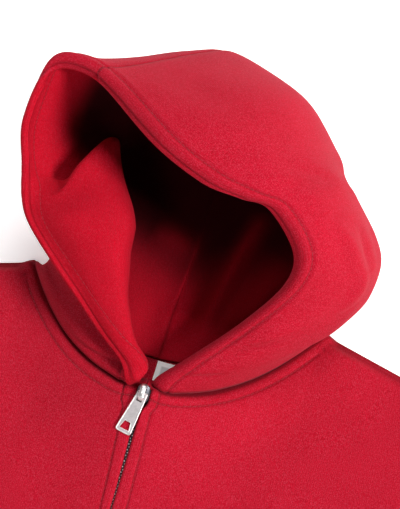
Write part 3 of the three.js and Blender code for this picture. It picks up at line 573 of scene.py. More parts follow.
stations = ["edge", "lip", "brow", "crest", "side", "turn", "floor", "seam"]
hoodTables = {
    "left": [
        {"edge": (8, 6, 28), "lip": (20, 5, 29), "brow": (37, 10, 28), "crest": (60, 25, 24),
         "side": (90, 57, 19), "turn": (97, 76, 14), "floor": (48, 50, 1), "seam": (0, 37, 1)},
        {"edge": (20, 18, 35), "lip": (30, 14, 38), "brow": (49, 19, 38), "crest": (71, 34, 34),
         "side": (97, 60, 27), "turn": (102, 85, 14), "floor": (52, 70, 1), "seam": (0, 52, 1)},
        {"edge": (45, 42, 48), "lip": (55, 38, 52), "brow": (69, 41, 51), "crest": (86, 52, 44),
         "side": (106, 75, 32), "turn": (108, 99, 11), "floor": (56, 95, 1), "seam": (1, 77, 1)},
        {"edge": (64, 62, 66), "lip": (73, 61, 69), "brow": (85, 67, 65), "crest": (101, 79, 54),
         "side": (112, 97, 36), "turn": (109, 123, 11), "floor": (60, 122, 1), "seam": (2, 104, 1)},
        {"edge": (66, 74, 82), "lip": (76, 78, 85), "brow": (89, 87, 78), "crest": (102, 99, 62),
         "side": (108, 114, 38), "turn": (101, 142, 10), "floor": (54, 147, 1), "seam": (2, 131, 1)},
        {"edge": (48, 88, 98), "lip": (58, 93, 101), "brow": (74, 103, 95), "crest": (89, 117, 74),
         "side": (94, 134, 46), "turn": (86, 160, 12), "floor": (46, 168, 1), "seam": (3, 156, 1)},
        {"edge": (31, 87, 105), "lip": (42, 94, 109), "brow": (60, 108, 103), "crest": (78, 126, 84),
         "side": (81, 145, 54), "turn": (76, 170, 18), "floor": (41, 178, 2), "seam": (3, 168, 1)},
        {"edge": (8, 88, 112), "lip": (18, 97, 117), "brow": (40, 114, 113), "crest": (62, 135, 91),
         "side": (72, 156, 60), "turn": (68, 182, 26), "floor": (35, 190, 5), "seam": (3, 181, 2)},
        {"edge": (-26, 102, 121), "lip": (-16, 112, 126), "brow": (3, 131, 122), "crest": (26, 158, 106),
         "side": (40, 181, 82), "turn": (37, 200, 52), "floor": (20, 205, 25), "seam": (3, 203, 13)},
        {"edge": (-68, 138, 117), "lip": (-68, 144, 118), "brow": (-57, 154, 110), "crest": (-39, 172, 100),
         "side": (-22, 191, 89), "turn": (-10, 208, 75), "floor": (-3, 213, 51), "seam": (1, 213, 31)},
    ],
    "right": [
        {"edge": (-13, 3, 26), "lip": (-10, 2, 29), "brow": (-7, 4, 29), "crest": (-13, 9, 25),
         "side": (-46, 19, 22), "turn": (-84, 62, 12), "floor": (-48, 50, 1), "seam": (0, 37, 1)},
        {"edge": (-24, 16, 33), "lip": (-20, 14, 37), "brow": (-14, 15, 36), "crest": (-21, 22, 30),
         "side": (-52, 34, 25), "turn": (-81, 68, 12), "floor": (-50, 68, 1), "seam": (0, 52, 1)},
        {"edge": (-44, 32, 41), "lip": (-35, 31, 48), "brow": (-23, 34, 48), "crest": (-28, 44, 36),
         "side": (-58, 54, 27), "turn": (-80, 82, 13), "floor": (-54, 94, 1), "seam": (1, 77, 1)},
        {"edge": (-66, 48, 50), "lip": (-48, 49, 61), "brow": (-31, 54, 62), "crest": (-33, 68, 45),
         "side": (-61, 80, 27), "turn": (-80, 104, 13), "floor": (-54, 117, 1), "seam": (2, 104, 1)},
        {"edge": (-87, 66, 59), "lip": (-62, 66, 72), "brow": (-37, 79, 71), "crest": (-38, 96, 48),
         "side": (-62, 108, 27), "turn": (-82, 124, 12), "floor": (-50, 141, 1), "seam": (2, 131, 1)},
        {"edge": (-96, 78, 65), "lip": (-75, 81, 68), "brow": (-66, 103, 70), "crest": (-58, 128, 62),
         "side": (-62, 136, 30), "turn": (-80, 140, 11), "floor": (-44, 160, 1), "seam": (3, 156, 1)},
        {"edge": (-103, 93, 76), "lip": (-90, 97, 62), "brow": (-72, 113, 47), "crest": (-62, 138, 37),
         "side": (-64, 148, 22), "turn": (-66, 157, 10), "floor": (-36, 172, 2), "seam": (3, 168, 1)},
        {"edge": (-108, 115, 91), "lip": (-98, 124, 78), "brow": (-84, 138, 58), "crest": (-73, 152, 42),
         "side": (-62, 164, 28), "turn": (-50, 174, 16), "floor": (-27, 185, 6), "seam": (3, 181, 2)},
        {"edge": (-98, 141, 110), "lip": (-94, 148, 113), "brow": (-82, 156, 99), "crest": (-68, 171, 81),
         "side": (-54, 189, 62), "turn": (-37, 198, 42), "floor": (-18, 204, 24), "seam": (3, 203, 13)},
        {"edge": (-68, 138, 117), "lip": (-68, 144, 118), "brow": (-57, 154, 110), "crest": (-39, 172, 100),
         "side": (-22, 191, 89), "turn": (-10, 208, 75), "floor": (-3, 213, 51), "seam": (1, 213, 31)},
    ],
}
neckShares = {"left": [0.03, 0.2, 0.36, 0.62, 0.85, 1], "right": [0.04, 0.12, 0.22, 0.38, 0.7, 1]}
hoodLook = {"strip": 2.9, "stripDepth": 0.8, "bandWidth": 10.6, "bandRise": 1.0, "stitchDepth": 0.6,
            "seamDepth": 0.6, "near": 14, "passes": 10, "rollDeep": 4.0, "rollWide": 9,
            "topReach": 24, "topPasses": 60}
liningFolds = [
    {"from": (18, 38), "to": (38, 142), "wide": 6, "high": 9, "even": True},
    {"from": (42, 40), "to": (60, 112), "wide": 10, "high": 7, "even": True},
    {"from": (20, 60), "to": (-10, 52), "wide": 8, "high": 2.0, "even": True},
    {"from": (-30, 110), "to": (8, 100), "wide": 10, "high": 3, "even": True},
]
lapelFoot = {"shift": (4.5, 1.0, 0), "up": 0.14, "reach": 0.07, "edge": (8, 34)}
upReach = 300  # the hood's folds below: mm from its front edge, and how far up its sections, of this many
hoodFolds = {
    "left": [{"from": (32, 166), "to": (48, 132), "wide": 7, "high": 2.6, "even": True},
             {"from": (46, 140), "to": (64, 96), "wide": 7, "high": 3.2, "even": True},
             {"from": (58, 168), "to": (64, 128), "wide": 8, "high": -3.0, "even": True},
             {"from": (12, 70), "to": (36, 80), "wide": 4, "high": -1.8, "even": True},
             {"from": (12, 82), "to": (40, 92), "wide": 6, "high": 1.2, "even": True},
             {"from": (6, 38), "to": (32, 46), "wide": 6, "high": -1.4, "even": True},
             {"from": (40, 236), "to": (70, 205), "wide": 13, "high": -1.6, "even": True},
             {"from": (14, 226), "to": (34, 210), "wide": 12, "high": 1.3, "even": True},
             {"from": (30, 282), "to": (64, 262), "wide": 12, "high": -1.2, "even": True},
             {"from": (84, 215), "to": (100, 180), "wide": 12, "high": 1.6, "even": True}],
    "right": [{"from": (22, 206), "to": (72, 200), "wide": 11, "high": 8, "even": True},
              {"from": (10, 180), "to": (94, 180), "wide": 9, "high": -3, "even": True, "sharp": True},
              {"from": (18, 90), "to": (60, 96), "wide": 12, "high": 1.2, "even": True},
              {"from": (70, 140), "to": (90, 180), "wide": 12, "high": 1.4, "even": True}],
}
crease = {"at": 0.6, "reach": 0.1, "sharp": 0.02, "from": (0.4, 1.0), "to": (3.0, 3.6), "share": 0.9}


def hoodFoot(name, u):
    side = 1 if name == "left" else -1
    station = u * (len(stations) - 1)
    shares = neckShares[name]
    last = len(shares) - 1
    front = neckline(np.interp(station, np.arange(len(shares)), shares)) + [0, 0, 0.6]
    behind = np.clip((station - last) / (len(stations) - 1 - last), 0, 1)
    rear = backNeck(1 - behind)
    rear[:, 1] += 1.6 + (cloth["seamGap"] - 1.6) * behind
    rear[:, 2] = cloth["rest"] + (7 - cloth["rest"]) * (1 - np.minimum(behind * 2, 1))
    foot = np.where((station <= last)[:, None], front, rear)
    return foot * [side, 1, 1]


def hoodGrid(name):
    # the hood's middle surface, with columns at set distances from the front edge
    u = np.linspace(0, 1, 500)
    v = np.concatenate([[0, 0.004, 0.008, 0.014], np.linspace(0.02, 0.58, 88)[:-1],
                        np.linspace(0.58, 0.62, 15)[:-1], np.linspace(0.62, 0.985, 58),
                        [0.99, 0.994, 0.997, 1]])
    sections = [through([row[key] for key in stations])(u) for row in hoodTables[name]]
    sections = np.stack([hoodFoot(name, u)] + sections)
    surface = through(sections)(v)
    if name == "right":
        surface = creased(surface, sections, u, v)
    surface[..., 2] = np.maximum(surface[..., 2], cloth["rest"])
    close = np.concatenate([np.arange(0, 4.2, 0.6), np.arange(4.8, 12.6, 0.8), [13.4]])
    share = np.linspace(0, 1, 96)
    grid, fromEdge, fromSeam = [], [], []
    for points in surface:
        length = runOf(points)
        total = length[-1]
        far = hoodLook["near"] + (total - hoodLook["near"] - 4) * share
        at = np.concatenate([close, far, total - np.array([3, 2, 1.2, 0.5, 0])])
        grid.append(np.stack([np.interp(at, length, points[:, k]) for k in range(3)], 1))
        fromEdge.append(at)
        fromSeam.append(total - at)
    grid, fromEdge, fromSeam = np.array(grid), np.array(fromEdge), np.array(fromSeam)
    up = np.linalg.norm(np.diff(grid, axis=0), axis=2)
    along = np.concatenate([np.zeros((1, grid.shape[1])), np.cumsum(up, axis=0)])
    return {"grid": grid, "edge": fromEdge, "seam": fromSeam, "foot": along, "top": along[-1] - along,
            "up": v[:, None] + 0 * along}


def creased(surface, sections, u, v):  # the lapel's edge is a sharp straight fold between two flatter faces
    rows = v * (len(sections) - 1)
    low = np.minimum(rows.astype(int), len(sections) - 2)
    part = (rows - low)[:, None, None]
    flat = sections[low] * (1 - part) + sections[low + 1] * part
    station = u * (len(stations) - 1)
    nearV = 1 - smooth(np.abs(v - crease["at"]), crease["sharp"], crease["reach"])
    nearU = smooth(station, *crease["from"]) * (1 - smooth(station, *crease["to"]))
    here = crease["share"] * nearV[:, None] * nearU[None]
    return surface + (flat - surface) * here[..., None]


def hoodHalves():
    halves = {name: hoodGrid(name) for name in ("left", "right")}
    halves["right"] = {key: value[:, ::-1] for key, value in halves["right"].items()}
    findNormals(halves)
    for name, half in halves.items():  # the folds, and the hem that curls in at the opening
        curl = hoodLook["rollDeep"] * np.maximum(1 - half["edge"] / hoodLook["rollWide"], 0) ** 2
        folds = foldHeight(hoodFolds[name], half["edge"], half["up"] * upReach)
        half["grid"] = half["grid"] + half["normals"] * (folds - curl)[..., None]
        if name == "right":  # its lapel runs straight down to the zip
            here = np.exp(-((half["up"] - lapelFoot["up"]) / lapelFoot["reach"]) ** 2)
            here = here * (1 - smooth(half["edge"], *lapelFoot["edge"]))
            half["grid"] = half["grid"] + here[..., None] * lapelFoot["shift"]
        half["grid"][..., 2] = np.maximum(half["grid"][..., 2], cloth["rest"])
    roundTop(halves)
    findNormals(halves)
    return halves


def roundTop(halves):  # no corner where the two halves meet at the top seam
    left, right = halves["left"]["grid"], halves["right"]["grid"][:, ::-1]
    joined = np.concatenate([left, right[::-1][1:]])
    away = np.abs(np.arange(len(joined)) - (len(left) - 1))
    here = (1 - smooth(away, 6, hoodLook["topReach"]))[:, None, None]
    for _ in range(hoodLook["topPasses"]):
        middle = 0.5 * (joined[:-2] + joined[2:])
        joined[1:-1] += 0.5 * here[1:-1] * (middle - joined[1:-1])
    halves["left"]["grid"] = joined[:len(left)]
    halves["right"]["grid"] = joined[len(left) - 1:][::-1][:, ::-1]


def findNormals(halves):  # the two halves share theirs along the seams
    left, right = halves["left"], halves["right"]
    for half in (left, right):
        half["normals"] = softened(normalsOf(half["grid"]), hoodLook["passes"])
    shared = unit(left["normals"][:, -1] + right["normals"][:, 0])
    left["normals"][:, -1], right["normals"][:, 0] = shared, shared
    shared = unit(left["normals"][-1] + right["normals"][-1][::-1])
    left["normals"][-1], right["normals"][-1] = shared, shared[::-1]


def hoodSeams(half):
    return np.minimum(half["seam"], half["top"])


def hoodShell(name, half):
    look, d, seam = hoodLook, half["edge"], hoodSeams(half)
    strip = smooth(half["up"], 0.48, 0.6) if name == "left" else 1
    across = np.clip(d / look["bandWidth"], 0, 1.1)
    relief = (look["bandRise"] * np.sqrt(np.clip(1 - (2 * across - 1) ** 2, 0, 1))
              + groove(d, look["strip"], look["stripDepth"], 0.7) * strip
              + groove(d, look["bandWidth"], look["stitchDepth"])
              + 0.5 * np.exp(-((d - look["bandWidth"] - 2.4) / 1.8) ** 2)
              + groove(seam, 0, look["seamDepth"], 1.3) + groove(half["foot"], 0, 0.5, 1.5))
    # painted shade along the hem strip groove, the band's stitching, the centre seam and the neck seam
    seamShade = np.maximum.reduce([np.exp(-((d - look["strip"]) / 0.6) ** 2) * strip,
                               0.7 * np.exp(-((d - look["bandWidth"]) / 0.6) ** 2),
                               0.6 * np.exp(-(seam / 0.9) ** 2), np.exp(-(half["foot"] / 1.2) ** 2)])
    marks = footed(np.stack([d, half["foot"], seamShade], -1))
    grid, normals, relief = footed(half["grid"], 1.8), footed(half["normals"]), footed(relief)
    piece = clothWall(f"hood_{name}_cloth", grid, normals, cloth["fleece"], marks, relief)
    half["outside"] = (grid + normals * (cloth["fleece"] / 2 + relief)[..., None])[1:]
    print("hood", name, grid.shape)
    return piece


def footed(grid, drop=0):  # one more row below the neck seam, so that no gap shows there
    foot = grid[:1].copy()
    if drop:
        foot[..., 2] = np.maximum(foot[..., 2] - drop, cloth["rest"])
    return np.concatenate([foot, grid])


def hoodLining(name, half):
    look, d, seam = hoodLook, half["edge"], hoodSeams(half)
    thick = cloth["lining"]
    depth = cloth["fleece"] / 2 + cloth["liningGap"] + thick / 2
    grid = half["grid"] - half["normals"] * depth
    onFloor = (1 - smooth(grid[..., 2], 18, 42)) * smooth(d, 40, 80) * smooth(half["foot"], 2, 12)
    fold = foldHeight(liningFolds, grid[..., 0], grid[..., 1]) * onFloor
    grid = grid - half["normals"] * fold[..., None]
    hem, strip = look["bandWidth"], look["strip"]
    relief = (0.5 * (1 - smooth(d, hem - 0.6, hem + 1.4)) + groove(d, strip, 0.55, 0.6)
              + groove(d, hem, 0.4) + groove(seam, 0, 0.3, 1.5))
    # painted shade along the hem strip, the hem's stitching, the seams and the neck seam
    seamShade = np.maximum.reduce([np.exp(-((d - strip) / 0.6) ** 2), 0.6 * np.exp(-((d - hem) / 0.6) ** 2),
                               np.exp(-(seam / 1.2) ** 2), 0.6 * np.exp(-(half["foot"] / 2) ** 2)])
    # painted shade deep in the hood, eased off the tops of the lining folds so that their ridges look lit:
    # painted light
    shade = deepShade(name, half) * (1 - 0.8 * np.clip(fold / 6, 0, 1))
    marks = footed(np.stack([d + knitFrom["lining"], half["foot"], seamShade * (1 - shade) - shade], -1))
    grid, normals, relief = footed(grid, 1.8), footed(half["normals"]), footed(relief)
    piece = clothWall(f"hood_lining_{name}_cloth", grid, normals, thick, marks, under=relief)
    half["inside"] = (grid - normals * (thick / 2 + relief)[..., None])[1:]
    return piece


def deepShade(name, half):  # painted shade: 1 deep inside the hood, where the cloth is all in the dark
    up = half["up"]
    if name == "left":
        start, wide = 55 + 0 * up, 40
    else:
        start, wide = 72 - 44 * smooth(up, 0.64, 0.78), 26
    return smooth(up, 0.2, 0.42) * smooth((half["edge"] - start) / wide, 0, 1)


def edgeRoll(halves):  # the turned edge that runs round the hood's opening
    def side(half, column, inward):
        p = half["grid"][:, column]
        into = unit(half["grid"][:, inward] - p)
        n = half["normals"][:, column]
        middle = (cloth["liningGap"] + cloth["lining"]) / 2
        return p - n * middle + into * 0.9, into, n
    left = side(halves["left"], 0, 2)
    right = side(halves["right"], -1, -3)
    joined = [np.concatenate([a, b[::-1][1:]]) for a, b in zip(left, right)]
    for k in (1, 2):
        joined[k] = unit(sum(np.roll(joined[k], i, 0) for i in (-1, 0, 1)))
        joined[k][0], joined[k][-1] = joined[k][1], joined[k][-2]
    high = (cloth["fleece"] + cloth["liningGap"] + cloth["lining"]) / 2 + 0.35
    return tube("hood_edge_roll", *joined, 1.75, high)


# Zip and label

zipLook = {"pitch": 2.1, "tooth": (1.25, 3.0, 1.7), "inset": 0.28, "lap": 0.75, "sunk": 0.75,
           "tapeIn": 0.9, "tapeOut": 13, "tapeThick": 0.7, "below": 1.35, "glintPitch": 1.6, "glintAside": 0.3}
zipLow = body["hemY"] - band["height"] + 2


def zipHeightAt(y):
    return frontHeight(0 * y, y) - cloth["fleece"] / 2


def zipTeeth():  # two rows of small teeth that lock into each other, as one mesh
    step, inset, lap = zipLook["pitch"] / 2, zipLook["inset"], zipLook["lap"]
    count = int((-1.0 - zipLow) / step)
    deep, wide, tall = zipLook["tooth"]
    verts, faces = [], []
    for i in range(count):
        y = zipLow + i * step
        z = float(zipHeightAt(np.array([y]))[0]) - zipLook["sunk"]
        side = 1 if i % 2 else -1
        inner, outer = -lap * side, (wide - lap) * side
        box = []
        for level, shrink in ((-tall / 2, 0), (tall / 2 - inset, 0), (tall / 2, inset)):
            for x, dy in ((inner, -1), (inner, 1), (outer, 1), (outer, -1)):
                x += shrink * side * (1 if x == inner else -1)
                box.append((x, y + dy * (deep / 2 * 0.8 - shrink), z + level))
        start = len(verts)
        verts += box
        quads = [(3, 2, 1, 0), (8, 9, 10, 11)] if side < 0 else [(0, 1, 2, 3), (11, 10, 9, 8)]
        for r in (0, 4):
            for k in range(4):
                a, b = r + k, r + (k + 1) % 4
                quads.append((a, b, b + 4, a + 4) if side < 0 else (b, a, a + 4, b + 4))
        faces += [[start + k for k in q] for q in quads]
    piece = meshFrom("zip_teeth", verts, faces, angle=30)
    print("teeth", count)
    return piece


def toothGlintDots():  # painted highlights: small light metal dots down the middle of the closed teeth, standing in for the shine on their heads
    verts, faces = [], []
    for i, y in enumerate(np.arange(zipLow, -slider["length"] - slider["drop"], zipLook["glintPitch"])):
        z = float(zipHeightAt(np.array([y]))[0]) - zipLook["sunk"] + zipLook["tooth"][2] / 2
        middle = np.array([zipLook["glintAside"] * (1 if i % 2 else -1), y, z])
        start = len(verts)
        for level, size in ((-0.1, 1), (0.14, 0.85), (0.26, 0.4)):
            for k in range(8):
                a = k * math.pi / 4
                verts.append(middle + [size * 0.42 * math.cos(a), size * 0.5 * math.sin(a), level])
        faces += [[start + r + k, start + r + (k + 1) % 8, start + r + 8 + (k + 1) % 8, start + r + 8 + k]
                  for r in (0, 8) for k in range(8)]
        faces += [[start + k for k in range(7, -1, -1)], [start + 16 + k for k in range(8)]]
    return meshFrom("zip_tooth_glints", verts, faces)


bridge = {"length": 9.6, "height": 4.1, "wide": 1.7, "thick": 0.62}
tab = {"length": 26, "top": 6.2, "end": 10, "thick": 0.8, "skew": 14, "corner": 1.6, "topCorner": 1.0,
       "bar": 1.5, "clear": 1.55, "slot": (1.75, 4.6), "window": (2.0, 3.3, 5.2), "edge": 1.9,
       "hang": (0.4, -0.8, 1.9),
       "rim": (0.42, 0.68), "windowRim": (0.3, 0.6)}


def seats():  # where the slider and its tab stand: how each is turned, and its place
    y = -slider["length"] / 2 - slider["drop"]
    reach = np.array([y - slider["length"] / 2, y + slider["length"] / 2, y])
    low, high, middle = frontHeight(0 * reach, reach)
    place = np.array([0, y, middle - cloth["fleece"] / 2 - 0.3 + slider["lift"] + slider["thick"]])
    bar = place + tab["hang"]
    skew = math.radians(tab["skew"])
    end = bar - tab["length"] * np.array([math.sin(skew), math.cos(skew), 0])
    floor = frontHeight(end[:1], end[1:2])[0] + cloth["fleece"] / 2 + tab["clear"]
    tilt = math.asin((bar[2] - floor) / tab["length"])
    turned = Matrix.Rotation(math.atan((high - low) / slider["length"]), 3, "X")
    hung = Matrix.Rotation(-skew, 3, "Z") @ Matrix.Rotation(tilt, 3, "X")
    return (np.array(turned), place), (np.array(hung), bar)


def placed(points, seat):
    return np.asarray(points, float) @ seat[0].T + seat[1]


sliderLevels = [(-3.1, 0.84), (-2.95, 0.95), (-2.6, 1), (-2.1, 1), (-1.95, 0.9), (-1.15, 0.9), (-1.0, 1),
                (-0.4, 1), (-0.12, 0.96), (0, 0.86)]  # height below the top plate, and width there


def sliderPieces(seat):
    angles = np.linspace(0, 2 * math.pi, 48, endpoint=False)
    c, s = np.cos(angles), np.sin(angles)
    y = np.sign(s) * np.abs(s) ** 0.5 * slider["length"] / 2
    narrow = 1 - 0.16 * smooth(-y, 0, slider["length"] / 2)
    x = np.sign(c) * np.abs(c) ** 0.5 * slider["width"] / 2 * narrow
    rings = np.array([np.stack([x * size, y * size, 0 * x + z], 1) for z, size in sliderLevels])
    bodyPiece = lofted("slider_body", placed(rings, seat), angle=40)
    half, high = bridge["length"] / 2, bridge["height"] - bridge["thick"]
    rise = [(half - 0.4, -0.3), (half - 0.2, high - 1.9), (half - 1.2, high - 0.5), (half - 2.8, high)]
    fall = [(-along, up) for along, up in rise[::-1]]
    arch = through([*rise, (0, high + 0.02), *fall])(np.linspace(0, 1, 60))
    path = np.stack([0 * arch[:, 0], arch[:, 0], arch[:, 1]], 1)
    ahead = unit(np.gradient(path, axis=0))
    aside = np.tile([1.0, 0, 0], (len(path), 1))
    middle = placed(path, seat)
    bar = tube("slider_bridge", middle, aside @ seat[0].T, np.cross(ahead, aside) @ seat[0].T,
               bridge["wide"], bridge["thick"], 20)
    return bodyPiece, bar


def tabHalf(y):  # half the tab's width at y, with its rounded corners
    top, end = tab["bar"] / 2, tab["bar"] / 2 - tab["length"]
    wide = (tab["top"] + (tab["end"] - tab["top"]) * (top - y) / tab["length"]) / 2
    for gap, corner in ((y - end, tab["corner"]), (top - y, tab["topCorner"])):
        inside = np.clip(1 - gap / corner, 0, 1)
        wide = wide - corner * (1 - np.sqrt(np.maximum(1 - inside ** 2, 0)))
    return wide


def tabPieces(seat):
    top, end = tab["bar"] / 2, tab["bar"] / 2 - tab["length"]
    slot, (upper, lower, tall) = tab["slot"], tab["window"]
    slotTop, windowEnd = -tab["bar"] / 2, end + tab["edge"]
    holes = [(slotTop, slotTop - slot[1]), (windowEnd + tall, windowEnd)]
    y = np.concatenate([top - np.array([0, 0.15, 0.4, 0.75, 1.0]),
                        [slotTop, slotTop - slot[1], -8, -12, -16, windowEnd + tall, windowEnd],
                        end + tab["corner"] * np.array([0.9, 0.7, 0.4, 0.15, 0.0])])
    y = np.array(sorted(set(np.round(y, 4)), reverse=True))
    wide = tabHalf(y)
    holeAt = [-slotTop, slot[1] - slotTop, -windowEnd - tall, -windowEnd]
    holeHalf = np.minimum(np.interp(-y, holeAt, [slot[0], slot[0], upper, lower]), wide * 0.8)
    across = np.stack([-wide, -holeHalf, holeHalf, wide], 1)
    level = tab["thick"] / 2
    verts = [(x, row, z) for z in (level, -level) for row, line in zip(y, across) for x in line]
    rows, low = len(y), 4 * len(y)
    isHole = [any(a <= start + 1e-6 and b >= stop - 1e-6 for start, stop in holes)
              for a, b in zip(y[:-1], y[1:])]

    def at(row, column, under=0):
        return row * 4 + column + under * low
    faces = []
    for i in range(rows - 1):
        for k in range(3):
            if k == 1 and isHole[i]:
                continue
            faces.append([at(i, k), at(i + 1, k), at(i + 1, k + 1), at(i, k + 1)])
            faces.append([at(i, k, 1), at(i, k + 1, 1), at(i + 1, k + 1, 1), at(i + 1, k, 1)])
        walls = [(0, False), (3, True)] + ([(1, True), (2, False)] if isHole[i] else [])
        for column, flip in walls:
            quad = [at(i, column), at(i, column, 1), at(i + 1, column, 1), at(i + 1, column)]
            faces.append(quad[::-1] if flip else quad)
    for i in range(rows):
        before, after = (isHole[i - 1] if i else True), (isHole[i] if i < rows - 1 else True)
        if before != after or i in (0, rows - 1):
            for k in range(3) if i in (0, rows - 1) else (1,):
                quad = [at(i, k), at(i, k + 1), at(i, k + 1, 1), at(i, k, 1)]
                faces.append(quad if before else quad[::-1])
    plate = meshFrom("pull_tab_plate", placed(verts, seat), faces, rides="pull_tab", angle=30)

    def bead(name, outline, size):
        line = np.array(outline + outline[:2])
        line = np.concatenate([line, np.zeros((len(line), 1))], 1)
        ahead = unit(np.gradient(line, axis=0))
        ups = np.tile([0, 0, 1.0], (len(line), 1))
        sideways, upwards = np.cross(ahead, ups) @ seat[0].T, ups @ seat[0].T
        return tube(name, placed(line, seat), sideways, upwards, *size, 12, "pull_tab")
    fine = end + (top - end) * (1 - np.cos(np.linspace(0, math.pi, 60))) / 2
    inset = tab["rim"][0] * 0.8
    side = [(float(max(tabHalf(v) - inset, 0.3)), float(np.clip(v, end + inset, top - inset))) for v in fine]
    rim = bead("pull_tab_rim", side + [(-x, v) for x, v in side[::-1]], tab["rim"])
    window = [(upper, windowEnd + tall), (lower, windowEnd), (-lower, windowEnd), (-upper, windowEnd + tall)]
    dense = [tuple(np.array(a) * (1 - k) + np.array(b) * k) for a, b in zip(window, window[1:] + window[:1])
             for k in (0, 0.04, 0.1, 0.3, 0.5, 0.7, 0.9, 0.96)]
    return plate, rim, bead("pull_tab_window_rim", dense, tab["windowRim"])


def zipTape(name):
    side = 1 if name == "left" else -1
    low = body["hemY"] - band["height"] + 0.8
    y = np.concatenate([np.linspace(low, -60, 90)[:-1], np.linspace(-60, -1.2, 50)])
    x = np.concatenate([np.linspace(zipLook["tapeIn"], 3, 4)[:-1], np.linspace(3, zipLook["tapeOut"], 12)])
    gx, gy = np.meshgrid(x, y)
    top = frontHeight(gx, gy) - cloth["fleece"] / 2 - zipLook["below"]
    grid = np.stack([side * gx, gy, top], -1)
    grid, = facing(side, grid)
    rows = 0.06 * np.sin(gy * 5)
    marks = np.stack([gx, gy, 0.8 * np.exp(-((gx - 3.4) / 0.5) ** 2)], -1)
    return clothWall(f"zip_tape_{name}_weave", grid, normalsOf(grid), zipLook["tapeThick"], marks, rows)


labelLook = {"x": 14, "width": 28, "length": 34, "thick": 0.45, "border": 3.0, "drop": 1,
             "curlFrom": 20}


def labelRibbon():
    x = np.linspace(-0.5, 0.5, 57) * labelLook["width"]
    y = np.linspace(0, -1, 69) * labelLook["length"]
    gx, gy = np.meshgrid(x, y[::-1])
    edge = labelLook["width"] / 2
    lift = 0.5 * (np.abs(gx) / edge) ** 4 + 1.1 * (np.clip(-gy - labelLook["curlFrom"], 0, 14) / 14) ** 2
    z = cloth["fleece"] + cloth["seamGap"] + labelLook["thick"] / 2 + lift
    grid = np.stack([gx + labelLook["x"], gy + body["backNeckY"] - labelLook["drop"], z], -1)
    inside = np.minimum.reduce([gx + edge, edge - gx, -gy, gy + labelLook["length"]])
    panel = smooth(inside, labelLook["border"] - 0.2, labelLook["border"] + 0.2)
    marks = np.stack([gx, gy, panel], -1)
    return clothWall("neck_label", grid, normalsOf(grid), labelLook["thick"], marks, -0.05 * panel)


# Materials

class Wire:  # a shader socket that takes part in sums
    def __init__(self, shader, socket):
        self.shader, self.socket = shader, socket

    def math(self, operation, *others):
        return self.shader.node("Math", {"operation": operation}, [self, *others])

    def __add__(self, other):
        return self.math("ADD", other)

    def __sub__(self, other):
        return self.math("SUBTRACT", other)

    def __mul__(self, other):
        return self.math("MULTIPLY", other)


class Shader:  # a material, its main shader, and one method that adds any node
    def __init__(self, name, **fixed):
        self.material = bpy.data.materials.new(name)
        self.material.use_nodes = True
        self.tree = self.material.node_tree
        self.main = self.tree.nodes["Principled BSDF"]
        for key, value in fixed.items():
            self.set(key.replace("_", " ").title().replace("Ior", "IOR"), value)

    def plug(self, socket, value):
        if isinstance(value, Wire):
            self.tree.links.new(value.socket, socket)
        elif value is not None:
            socket.default_value = value

    def set(self, name, value):
        self.plug(self.main.inputs[name], value)

    def node(self, kind, settings=None, values=(), output=0):
        made = self.tree.nodes.new("ShaderNode" + kind)
        for key, value in (settings or {}).items():
            setattr(made, key, value)
        pairs = values.items() if isinstance(values, dict) else enumerate(values)
        for key, value in pairs:
            self.plug(made.inputs[key], value)
        return Wire(self, made.outputs[output])

    def noise(self, at, scale, detail=2.0, rough=0.5):
        values = {"Vector": at, "Scale": scale, "Detail": detail, "Roughness": rough}
        return self.node("TexNoise", None, values, "Fac")

    def mix(self, factor, a, b):
        return self.node("Mix", {"data_type": "RGBA"}, {0: factor, 6: a, 7: b}, 2)

    def ramp(self, value, low, high):
        return self.node("MapRange", None, {"Value": value, "From Min": low, "From Max": high})

    def bump(self, height, distance):
        self.set("Normal", self.node("Bump", None, {"Height": height, "Distance": distance, "Strength": 1.0}))

    def clothMarks(self):  # across and along the cloth in metres, and the depth in a seam, where seam shade is painted; below 0, painted shade deep in the hood
        marks = self.node("Attribute", {"attribute_name": "cloth"}, output="Vector")
        parts = self.node("SeparateXYZ", None, [marks]).socket.node.outputs
        return [Wire(self, part) for part in parts]


# nap scales and the sheen tint, with the colour of painted highlights on the fibre ends and the colour of
# painted shade deep in the hood
napAndPaintedLight = {"wander": 380, "grain": 1500, "ends": 1700, "tufts": 600, "broad": 26,
           "fibreGlint": (0.50, 0.040, 0.074, 1), "shade": (0.01, 0.0, 0.001, 1), "sheen": (1, 0.45, 0.56, 1)}


